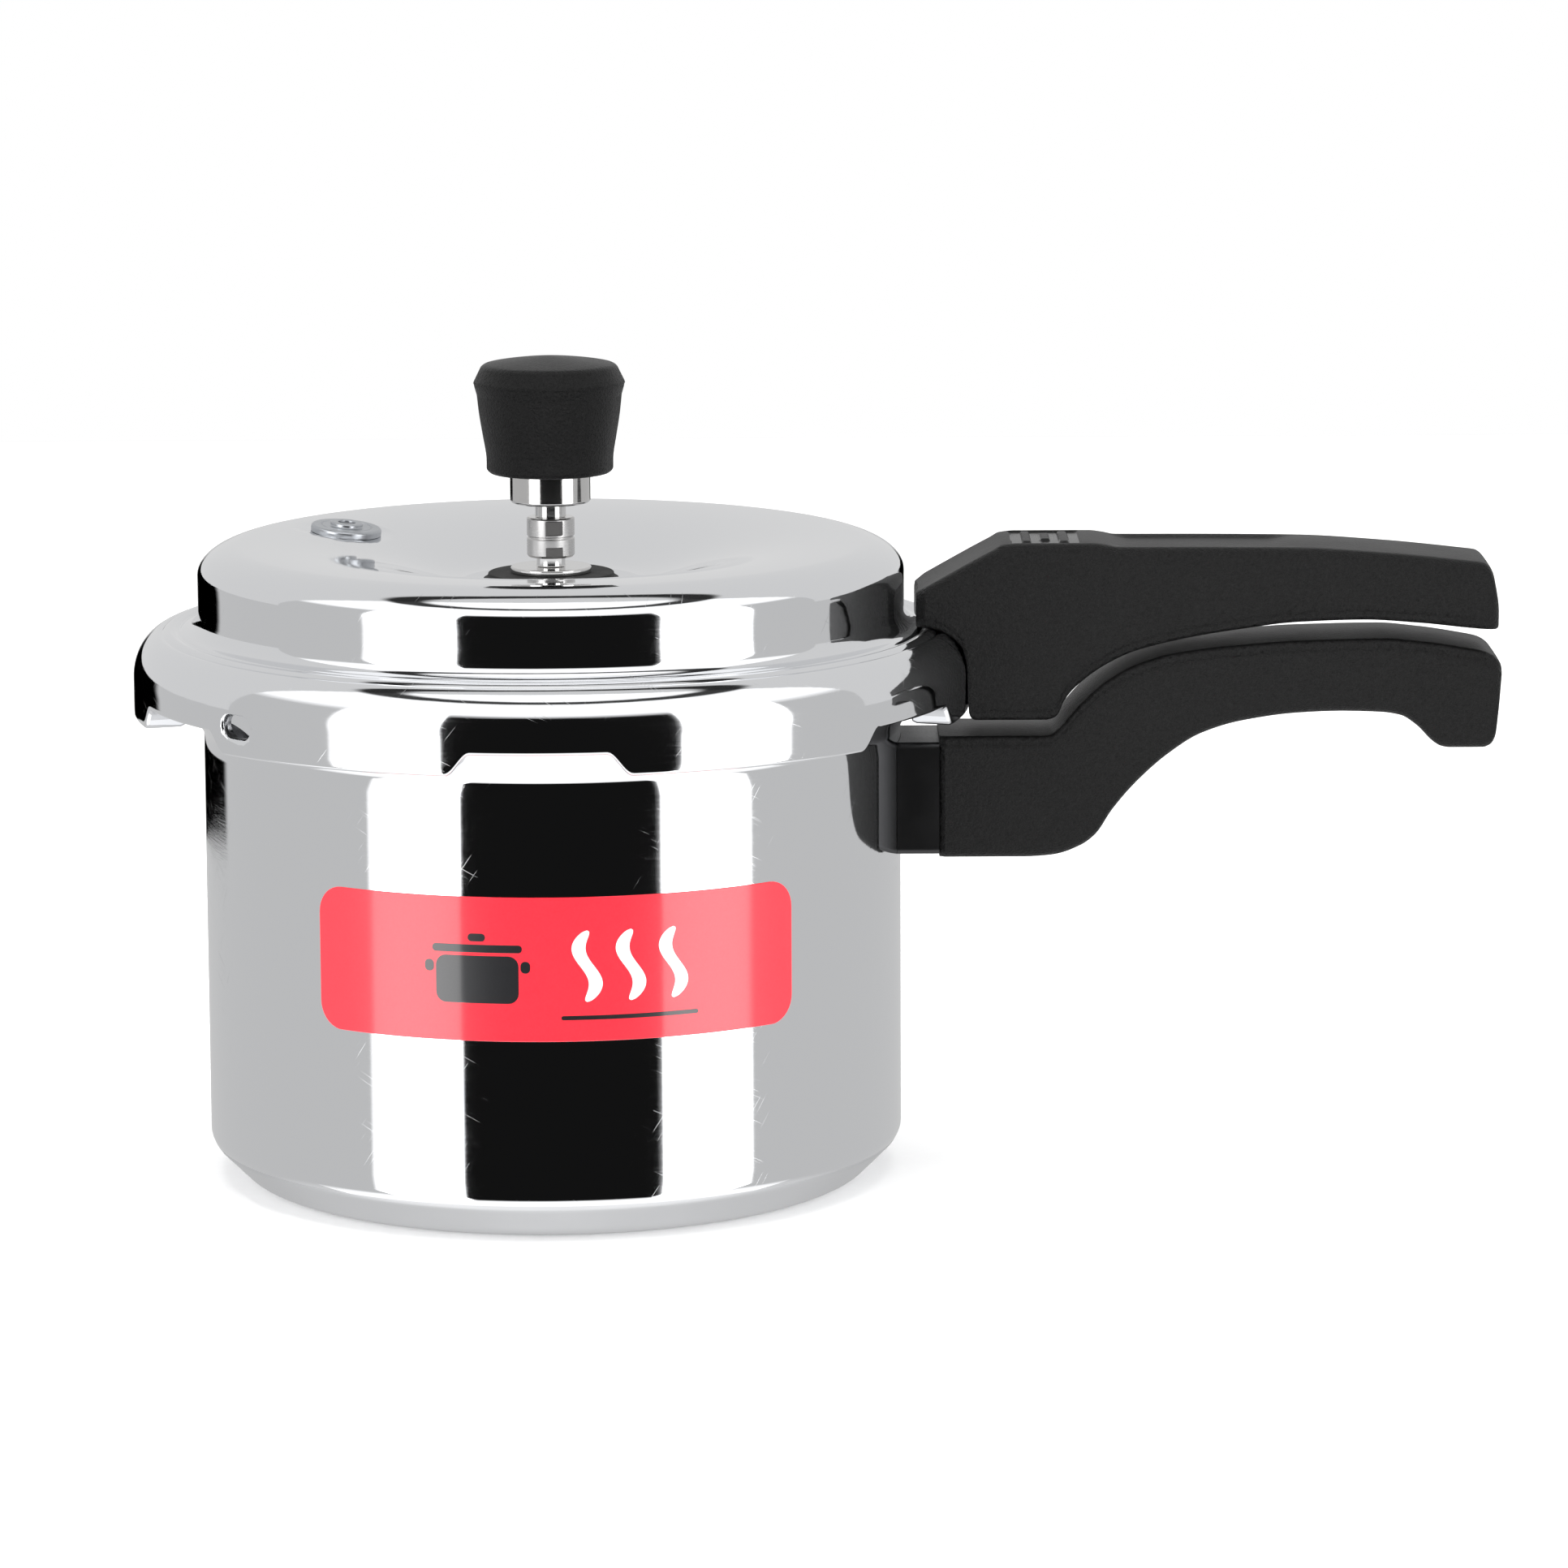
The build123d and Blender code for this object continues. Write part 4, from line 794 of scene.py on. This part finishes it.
cap_foot = cap_low[2]
cap_top = cap_high[2]
cap_radius = cap_high[0]
CAP_FOOT = 16.3
bead_z = cap_foot + 23.2
shoulder = (16.9, cap_foot + 27.8)
cap_profile = chain(
    (STEM + 0.1, cap_foot), run((STEM + 0.3, cap_foot), (CAP_FOOT - 1.2, cap_foot), 5),
    bend((CAP_FOOT - 1.2, cap_foot), (CAP_FOOT, cap_foot + 1.2), (1.2, 0), (0, 1.2), 7),
    through([(CAP_FOOT, cap_foot + 1.3), (CAP_FOOT + 0.08, cap_foot + 4.5), (CAP_FOOT + 0.78, cap_foot + 9),
             (CAP_FOOT + 1.75, cap_foot + 15), (cap_radius - 0.85, bead_z - 3.0)], 10),
    bend((cap_radius - 0.85, bead_z - 3.0), (cap_radius - 0.22, bead_z - 0.7), (0.55, 1.7), (0.25, 1.4), 6),
    arc((cap_radius - 0.2, bead_z), 0.2, -70, 70, 5),
    run((cap_radius - 0.12, bead_z + 0.35), (shoulder[0] + 0.75, shoulder[1] - 0.75), 6),
    bend((shoulder[0] + 0.75, shoulder[1] - 0.75), (shoulder[0] - 0.5, shoulder[1] + 0.2), (-0.5, 1.1),
         (-1.3, 0.35), 7),
    bend((shoulder[0] - 0.5, shoulder[1] + 0.2), (0.05, cap_top), (-8.0, 2.1), (-9.0, 0), 22), (0, cap_top))
cap_grid = spun(cap_profile, turns(224))
well_top = bead_z + 0.1
well = spun(chain((0, well_top), run((2, well_top), (STEM + 0.1, well_top), 3), (STEM + 0.1, cap_foot)),
            turns(224))
cap_mesh = mesh_from("weight_cap_moulded", [np.concatenate([well[:-1], cap_grid])])
piece("weight_cap_moulded", cap_mesh, "weight", "knob_phenolic", [cap_phenolic], ["weight_cap"])

# %% [markdown]
# ## The safety valve
# If the cooker boils dry, a fusible core melts out of this valve. Its body is turned in the valve's own
# frame, whose third axis is the lid's slope square out, and then placed: every point is the place plus its
# parts along the axes.

# %% Make the safety valve
VALVE_FLANGE = 9.2
VALVE_BOSS = 4.2
VALVE_CORE = 2.2

side = np.cross((0, 0, 1), valve_axis)
side /= np.linalg.norm(side)
valve_axes = np.stack([np.cross(side, valve_axis), side, valve_axis])
seat = -DIMPLE_DEPTH + 0.02
valve_profile = chain(
    (VALVE_CORE + 0.1, -10.5), (4.6, -10.5), (5, -10.1), run((5, -10), (5, seat), 6),
    (VALVE_FLANGE - 0.2, seat), arc((VALVE_FLANGE - 0.25, seat + 0.25), 0.25, -90, 0, 4),
    arc((VALVE_FLANGE - 0.7, seat + 1.2), 0.7, 0, 90, 7),
    run((VALVE_FLANGE - 0.8, seat + 1.9), (6.9, seat + 1.9), 4),
    bend((6.9, seat + 1.9), (6.3, seat + 1.9), (-0.2, -0.9), (-0.2, 0.9), 6),
    (VALVE_BOSS + 0.4, seat + 1.9), arc((VALVE_BOSS + 0.3, seat + 2.2), 0.3, 270, 180, 4),
    arc((VALVE_BOSS - 0.4, seat + 2.5), 0.4, 0, 90, 5), (VALVE_CORE + 0.3, seat + 2.9),
    arc((VALVE_CORE + 0.3, seat + 2.7), 0.2, 90, 180, 4))
valve_grid = spun(valve_profile, turns(128)) @ valve_axes + valve_place
piece("safety_valve", mesh_from("safety_valve", [valve_grid], ring_rows=True), "lid", "valve_aluminium",
      [plated_steel], ["safety_valve_body"])

# %% [markdown]
# ## The handles
# Each handle is a loft along its length: at every station there is an upper and a lower height, and a
# closed section is laid between them. The section is a rectangle whose corners are quarter circles, with a
# crown on top. At the root of the lid handle the stations bend round the lid, so that the handle's end hugs
# the crown and brim.

# %% Helpers for the handles
HALF_WIDTH = 15.0
BEAD_GAP = 2.6              # parting line's distance from the edge of the handle
BEAD = 0.22                 # how far the parting line stands out


def height_along(points, stations):
    """Height at each station: a cubic between each two points. Its slopes are the harmonic mean of the
    slopes on either side, or level at a turning point, so the outline never overshoots."""
    x, z = np.array(points, float).T
    step = np.diff(x)
    rise = np.diff(z) / step
    same = rise[:-1] * rise[1:] > 0
    mean = np.where(same, 2 * rise[:-1] * rise[1:] / np.where(same, rise[:-1] + rise[1:], 1), 0)
    slope = np.concatenate([rise[:1], mean, rise[-1:]])
    k = np.clip(np.searchsorted(x, stations) - 1, 0, len(step) - 1)
    u = np.clip((stations - x[k]) / step[k], 0, 1)
    weight = 3 * u ** 2 - 2 * u ** 3
    bow = (u ** 3 - 2 * u ** 2 + u) * slope[k] + (u ** 3 - u ** 2) * slope[k + 1]
    return (1 - weight) * z[k] + weight * z[k + 1] + bow * step[k]


def handle_loft(stations, upper, lower, half, corners, bead, crown):
    """A closed section at every station, for all stations at once: a rectangle with quarter circles of two
    radii at its upper and lower corners, a crown that swells the top as 1 - (y / half) ** 2, and on each side
    a bead shaped as a bell curve of the height."""
    up, low, half, bead = (np.asarray(value)[:, None] for value in (upper, lower, half, bead))
    room = (up - low) * 0.46
    top_radius, foot_radius = (np.minimum(corner, room) for corner in corners)
    quarter = np.radians(np.linspace(0, 90, 8))[None]
    c, s = np.cos(quarter), np.sin(quarter)
    base, head = low + foot_radius, up - top_radius
    below = base + (np.clip(bead - 0.5, base, head) - base) * np.linspace(0, 1, 7)[None, 1:]
    about = np.clip(bead + np.array([[-0.25, 0, 0.25]]), base, head)
    above = head - (head - np.clip(bead + 0.5, base, head)) * np.linspace(1, 0, 7)[None, :-1]
    flank = np.concatenate([below, about, above], 1)
    proud = half + BEAD * np.exp(-((flank - bead) / 0.3) ** 2)
    u = np.linspace(-1, 1, 32)[None, 1:-1]
    across = np.concatenate([proud, half - top_radius + top_radius * c, -(half - top_radius) * u,
                             -(half - top_radius) - top_radius * s, -proud[:, ::-1],
                             -(half - foot_radius) - foot_radius * c, (half - foot_radius) * u,
                             half - foot_radius + foot_radius * s], 1)
    rise = np.concatenate([flank, head + top_radius * s, up + 0 * u, head + top_radius * c, flank[:, ::-1],
                           base - foot_radius * s, low + 0 * u, base - foot_radius * c], 1)
    dip = crown * (across / half) ** 2 * fade(rise, head, up)
    return np.stack([stations[:, None] + 0 * across, across, rise - dip], 2)


def closed_ends(grid):
    """Adds the middle of the first and of the last section as a row of its own, which closes both ends."""
    return np.concatenate([grid[:1] * 0 + grid[0].mean(0), grid, grid[-1:] * 0 + grid[-1].mean(0)])


def end_width(stations, end, rounding):
    """Half width that narrows along a quarter circle over the last few millimetres."""
    into = np.clip(stations - (end - rounding), 0, rounding)
    return HALF_WIDTH - rounding + np.sqrt(rounding ** 2 - into ** 2)


# %% [markdown]
# The lid handle's root hugs the lid: near it, each point is drawn back by the height of a circle's segment,
# r - sqrt(r squared - y squared), so its face follows the round crown and skirt. Its top has a shallow
# thumb rest and a small smooth panel where the locking marks stand up.

# %% Make the lid handle
lid_handle_low, lid_handle_high = span("lid_handle")
LID_ROOT = lid_handle_low[0]
LID_END = lid_handle_high[0]
TOP = lid_handle_high[2]
LID_TOP_LINE = [
    (LID_ROOT, 152.5), (100, 155.6), (108, 160.1), (114, 163.4), (116.4, TOP - 0.35), (120, TOP),
    (139, TOP), (142.5, TOP - 0.4), (145.6, TOP - 1.0), (168, TOP - 1.1), (192.7, TOP - 1.4),
    (213.6, TOP - 2.7), (236, TOP - 5.0), (239, TOP - 5.4), (240.6, TOP - 6.3), (241.6, TOP - 8.0),
    (243.1, 150.5), (244.0, 146.0), (LID_END, 143.7)]
LID_FOOT_LINE = [
    (LID_ROOT, 143.25), (98.3, 143.2), (101, 142.5), (103, 141.4), (105, 139.9), (106.4, 138.2),
    (107.3, 135.8), (107.9, 132), (108.1, 126), (108.3, 121.2), (109.0, 119.8), (110, 119.4), (127, 119.4),
    (129.3, 120.0), (130.5, 121.2), (131.6, 124.0), (135.8, 128.9), (143, 134.0), (150.3, 137.3),
    (164.9, 140.8), (177.4, 142.8), (191.9, 144.5), (208.6, 145), (223.1, 144.1), (240, 142.4),
    (242.4, 142.3), (243.7, 142.6), (LID_END, 143.4)]
lid_stations = np.concatenate([
    np.linspace(LID_ROOT, 106, 30)[:-1], np.linspace(106, 110.5, 28)[:-1], np.linspace(110.5, 137, 66)[:-1],
    np.linspace(137, 238, 90)[:-1], LID_END - (LID_END - 238) * np.linspace(1, 0, 26) ** 2])
lid_upper = height_along(LID_TOP_LINE, lid_stations)
lid_lower = height_along(LID_FOOT_LINE, lid_stations)
root_chamfer = 2.6 - np.clip(lid_stations - LID_ROOT, 0, 2.6)
lid_half = end_width(lid_stations, LID_END, 3.0) - root_chamfer
lid_handle_grid = handle_loft(lid_stations, lid_upper, lid_lower, lid_half, (3.0, 1.4),
                              np.maximum(lid_lower, 119.4) + BEAD_GAP, 0.25)
x, y, z = np.moveaxis(lid_handle_grid, 2, 0)
on_top = fade(z, lid_upper[:, None] - 1.0, lid_upper[:, None] - 0.4)
thumb = fade(x, 143, 150) * (1 - fade(x, 184, 193)) * (1 - fade(np.abs(y), 8.5, 11.5))
panel = fade(x, 117.8, 118.8) * (1 - fade(x, 135.4, 136.4)) * (1 - fade(np.abs(y), 11.2, 12.0))
marks = sum((1 - fade(np.abs(x - middle), 0.9, 1.3)) * (1 - fade(np.abs(y), reach, reach + 0.7))
            for middle, reach in ((122.3, 9.2), (127.1, 5.2), (131.9, 9.2)))
lid_handle_grid[..., 2] += on_top * (0.6 * panel * marks - 0.9 * thumb - 0.5 * panel)
hug = 1 - fade(x, 110, 125)
lid_handle_grid[..., 0] -= hug * (x - np.sqrt(x ** 2 - y ** 2))


def handle_finish(x, y, z):
    """1 for the smooth panel round the marks on top, 0 for the grain."""
    return ((x > 118.4) & (x < 135.8) & (np.abs(y) < 11.6) & (z > TOP - 0.8) & (z < TOP - 0.3)).astype(int)


lid_handle_mesh = mesh_from("lid_handle_moulded", [closed_ends(lid_handle_grid)], sharp=30)
paint(lid_handle_mesh, handle_finish)
piece("lid_handle_moulded", lid_handle_mesh, "lid", "handle_phenolic", [handle_phenolic, smooth_phenolic],
      ["lid_handle"])

# %% [markdown]
# The body handle curves down from under the lid handle, leaving a hand's room below it, to the hooked tip
# that keeps the grip from slipping off.

# %% Make the body handle
body_handle_low, body_handle_high = span("body_handle")
BODY_ROOT = body_handle_low[0]
BODY_END = body_handle_high[0]
BODY_TOP_LINE = [
    (BODY_ROOT, 115.4), (125.5, 115.4), (128.2, 115.6), (129.8, 116.7), (136.4, 124.0), (142.6, 129.5),
    (151, 134.1), (161.5, 137.0), (178.2, 138.9), (192.9, 139.9), (213.9, 140.3), (224.4, 139.4),
    (236, 137.6), (240.1, 136.7), (242.4, 135.4), (243.7, 133.8), (244.2, 132.2), (BODY_END, 130.6)]
BODY_FOOT_LINE = [
    (BODY_ROOT, 83.4), (121, 83.4), (124.5, 83.5), (129.6, 84), (135.9, 86.2), (140.1, 89.3), (144.2, 95.5),
    (150.5, 102.9), (158.8, 110.3), (167.1, 115.5), (177.5, 118.7), (192.1, 120.7), (202.5, 121.1),
    (213, 120.8), (218.2, 120), (222.4, 117.4), (226.6, 113.2), (228.7, 111.9), (231, 111.5),
    (239.4, 111.5), (241.4, 112.2), (242.7, 114.2), (243.2, 118), (243.9, 125), (BODY_END, 130.2)]
body_stations = np.concatenate([np.linspace(BODY_ROOT, 127, 20)[:-1], np.linspace(127, 238, 130)[:-1],
                                BODY_END - (BODY_END - 238) * np.linspace(1, 0, 30) ** 2])
body_upper = height_along(BODY_TOP_LINE, body_stations)
body_lower = height_along(BODY_FOOT_LINE, body_stations)
body_half = end_width(body_stations, BODY_END, 3.0) - 1.0 + np.clip(body_stations - BODY_ROOT, 0, 1.0)
body_handle_grid = handle_loft(body_stations, body_upper, body_lower, body_half, (1.4, 3.0),
                               body_upper - BEAD_GAP, 0.2)
body_handle_mesh = mesh_from("body_handle_moulded", [closed_ends(body_handle_grid)], sharp=30)
piece("body_handle_moulded", body_handle_mesh, "pot", "handle_phenolic", [handle_phenolic], ["body_handle"])

# %% [markdown]
# ## The label
# A vinyl label is stuck on the front of the wall. Every printed shape is laid out flat, as rows with a left
# and a right end, and wrapped on the wall: a distance along the label divided by the wall's radius is an
# angle. The print is plain: a dark pot, three white curls of steam and a dark rule.

# %% Make the label
label_low, label_high = span("front_label")
LABEL_TURN = 2.2
LABEL_HALF = 64.1           # half the label's length, along the wall
LABEL_CORNER = 7.0
INK = 0.03                  # millimetres that the print stands up
ink_radius = pot_radius + 0.2
label_mid = (label_low[2] + label_high[2]) / 2
label_rise = (label_high[2] - label_low[2]) / 2


def sticker(rise, left, right, radius, thick, columns=60):
    """Thin closed patch on the wall. Rows at the given heights run from left to right along the wall, and the
    front's border is let down to the back, so that the edge is closed."""
    u = np.concatenate([[0], np.linspace(0, 1, columns), [1]])
    along = left[:, None] + (right - left)[:, None] * u
    raised = np.full((len(rise), len(u)), float(thick))
    raised[:, [0, -1]] = 0
    raised[[0, -1]] = 0
    angle = along / radius + radians(LABEL_TURN - 90)
    height = rise[:, None] + 0 * along
    front = np.stack([(radius + raised) * np.cos(angle), (radius + raised) * np.sin(angle), height], 2)
    back = np.stack([radius * np.cos(angle), radius * np.sin(angle), height], 2)
    return np.concatenate([front, back[::-1]])


def rounded_rows(half_length, half_height, corner, steps=10):
    """Row heights of a rounded rectangle, and how far each row reaches: short near the corners."""
    turn = np.radians(np.linspace(90, 0, steps))
    near = half_height - corner + corner * np.sin(turn)
    rise = np.concatenate([-near[:-1], np.linspace(-near[-1], near[-1], 12), near[::-1][1:]])
    into = np.clip(np.abs(rise) - (half_height - corner), 0, corner)
    return rise, half_length - corner + np.sqrt(corner ** 2 - into ** 2)


def printed_bar(centre, half_length, half_height, corner, columns=16):
    """Rounded bar of ink, its centre given along and up the label."""
    rise, reach = rounded_rows(half_length, half_height, corner, 6)
    height = label_mid + centre[1] + rise
    return sticker(height, centre[0] - reach, centre[0] + reach, ink_radius, INK, columns)


rows_up, reach = rounded_rows(LABEL_HALF, label_rise, LABEL_CORNER)
label_patch = sticker(label_mid + rows_up, -reach, reach, pot_radius + 0.02, 0.17, 120)
piece("label", mesh_from("label", [label_patch], ring_rows=True, ring_columns=False), "pot", "label_vinyl",
      [red_vinyl], ["front_label"])

pot_print = [printed_bar((-20, -2.6), 10.5, 6.0, 2.6), printed_bar((-20, 5.2), 11.4, 1.0, 0.95),
             printed_bar((-20, 8.0), 2.2, 1.0, 0.95), printed_bar((-32.2, 0.6), 1.2, 1.5, 1.1),
             printed_bar((-7.8, 0.6), 1.2, 1.5, 1.1), printed_bar((18.5, -12.2), 17.5, 0.55, 0.5, 30)]
piece("label_print_dark", mesh_from("label_print_dark", pot_print, ring_rows=True, ring_columns=False), "pot",
      "label_vinyl", [dark_ink])

curl_rise = np.linspace(-8.2, 9.8, 60)
curl_half = 1.75 * np.sqrt(np.clip(1 - (np.abs(curl_rise - 0.8) / 9.01) ** 6, 0, 1))
curls = []
for middle in (7.5, 18.5, 29.5):
    curl = middle + 2.1 * np.sin((curl_rise + 8.2) / 18 * 2 * pi)
    curls.append(sticker(label_mid + curl_rise, curl - curl_half, curl + curl_half, ink_radius, INK, 8))
piece("label_print_white", mesh_from("label_print_white", curls, ring_rows=True, ring_columns=False), "pot",
      "label_vinyl", [white_ink])

# %% [markdown]
# ## The fittings that stay as designed
# Brackets, rivets, screws, nuts and springs are plain machined shapes, so their CAD pieces are shown as
# they are and only get their metal or rubber.

# %% Give the other pieces their finish
FINISHES = {
    "body_bracket": plated_steel, "lid_bracket": plated_steel, "bracket_rivets": satin_aluminium,
    "lid_bracket_rivets": satin_aluminium, "flame_guard": blued_steel, "body_handle_screw": plated_steel,
    "body_handle_washer": plated_steel, "lid_handle_screws": plated_steel, "lid_handle_washers": plated_steel,
    "lid_gasket": gasket_rubber, "vent_washer_inner": nitrile, "vent_nut": turned_brass,
    "safety_valve_plug": lead_alloy, "safety_valve_washer": nitrile, "safety_valve_nut": turned_brass,
    "weight_needle": turned_steel, "weight_clip": plated_steel}
for node, finish in FINISHES.items():
    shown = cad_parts[node]
    shown.data.materials.clear()
    shown.data.materials.append(finish)
print(len(FINISHES), "CAD pieces have their finish")

# %% [markdown]
# ## The studio
# The pieces stand on a plain pale floor in soft light. Polished metal shows nothing but the room, so the
# room is the picture: white screens to the left and right of the camera, an unlit gap behind it, and grey
# walls further round. The room is painted on the sky as a function of the direction's compass angle and
# height.

# %% Make the floor
floor_mesh = bpy.data.meshes.new("floor")
floor_mesh.from_pydata([(-2.5, -2.2, 0), (2.5, -2.2, 0), (2.5, 1.5, 0), (-2.5, 1.5, 0)], [], [(0, 1, 2, 3)])
floor = bpy.data.objects.new("floor", floor_mesh)
bpy.context.scene.collection.objects.link(floor)
paper, paper_tree, paper_shader = material("matte_paper_floor", Roughness=0.9, Specular_IOR_Level=0.2)
fibre = add(paper_tree, "TexNoise", {"Vector": add(paper_tree, "TexCoord").outputs["Object"], "Scale": 260.0})
shade = add(paper_tree, "Mix", {"Factor": fibre.outputs["Fac"], 6: tone("#f7f7f7"), 7: tone("#fbfbfb")},
            data_type="RGBA")
paper_tree.links.new(shade.outputs[2], paper_shader.inputs["Base Color"])
floor_mesh.materials.append(paper)
floor.visible_glossy = False
floor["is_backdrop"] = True

# %% Paint the room
ROOM = (                    # compass angle from the camera's side, and brightness there
    (-180, 0.165), (-61, 0.165), (-59, 1.0), (-29.5, 1.0), (-28.5, 0.002), (36.5, 0.002), (37.5, 1.0),
    (68, 1.0), (70, 0.165), (180, 0.165))
CARDS = (                   # the same for two dark cards that stand far round to the sides
    (-180, 1.0), (-170, 1.0), (-168, 0.0), (-137, 0.0), (-134, 1.0), (156, 1.0), (158, 0.0), (172, 0.0),
    (174, 1.0), (180, 1.0))
CEILING = ((-1.0, 1.0), (-0.68, 1.0), (-0.56, 0.0), (0.46, 0.0), (0.56, 1.0), (1.0, 1.0))
SEAM = ((0.0, 1.0), (0.87, 1.0), (0.885, 0.04), (0.925, 0.04), (0.94, 1.0), (1.0, 1.0))
ROOM_STRENGTH = 3.6


def along(value, low, high, stops):
    """A ramp whose stops are given in the value's own units."""
    scaled = add(sky, "MapRange", {"Value": value, "From Min": low, "From Max": high}).outputs[0]
    return ramp(sky, scaled, [((place - low) / (high - low), grey) for place, grey in stops])


def combined(operation, *values):
    """A chain of one arithmetic operation over several values."""
    total = values[0]
    for value in values[1:]:
        total = add(sky, "Math", {0: total, 1: value}, operation=operation).outputs[0]
    return total


world = bpy.data.worlds.new("room")
bpy.context.scene.world = world
world.use_nodes = True
sky = world.node_tree
sky.nodes.clear()
east, north, height = add(sky, "SeparateXYZ", {0: add(sky, "TexCoord").outputs["Generated"]}).outputs
compass = combined("MULTIPLY", combined("ARCTAN2", east, combined("MULTIPLY", north, -1.0)), 180 / pi)
walls = along(compass, -180, 180, ROOM)
card = combined("MAXIMUM", along(compass, -180, 180, CARDS), combined("LESS_THAN", height, -0.182))
front = combined("LESS_THAN", north, 0.1)
behind = combined("SUBTRACT", 1.0, front)
upper_back = combined("MULTIPLY", behind, combined("GREATER_THAN", height, 0.0))
blank = combined("MAXIMUM", along(height, -1, 1, CEILING), upper_back)
ceiling = combined("ADD", combined("MULTIPLY", front, 0.16), 0.2)
overhead = combined("MULTIPLY", ceiling, along(height, 0, 1, SEAM))
shade = add(sky, "Mix", {"Factor": blank, 2: combined("MULTIPLY", walls, card), 3: overhead}).outputs[0]
room = add(sky, "CombineXYZ", {0: shade, 1: shade, 2: shade})
lit = add(sky, "Background", {"Color": room.outputs[0], "Strength": ROOM_STRENGTH})
white = add(sky, "Background", {"Color": (1.0, 1.0, 1.0, 1.0), "Strength": 1.0})
plain = add(sky, "LightPath").outputs["Is Camera Ray"]
seen = add(sky, "MixShader", {0: plain, 1: lit.outputs[0], 2: white.outputs[0]})
add(sky, "OutputWorld", {"Surface": seen.outputs[0]})
print("room painted")

# %% Hang the lights
LIGHTS = (                  # name, place, width, depth, watts
    ("overhead", (0.1, 0.1, 1.9), 1.8, 1.8, 34.0),
    ("left_screen", (-1.5, -0.6, 1.0), 1.0, 1.2, 12.0),
    ("right_screen", (1.6, -0.5, 1.1), 1.0, 1.2, 12.0))
for name, place, width, depth, watts in LIGHTS:
    lamp = bpy.data.lights.new(name, "AREA")
    lamp.shape = "RECTANGLE"
    lamp.size = width
    lamp.size_y = depth
    lamp.energy = watts
    hung = bpy.data.objects.new(name, lamp)
    hung.location = place
    aim = Matrix.Translation(place).to_translation() * -1
    aim.z += 0.1
    hung.rotation_euler = aim.to_track_quat("-Z", "Y").to_euler()
    hung.visible_glossy = False
    bpy.context.scene.collection.objects.link(hung)
bpy.context.scene.view_settings.view_transform = "Standard"
print(len(LIGHTS), "lights")

# %% [markdown]
# ## The two boxes
# The finished looks must stay in the model's own box, so both boxes are kept for comparison.

# %% Print the boxes and finish
look_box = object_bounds()
for name, box in (("cad", cad_box), ("look", look_box)):
    print(name, [[round(value / MM, 1) for value in corner] for corner in box])
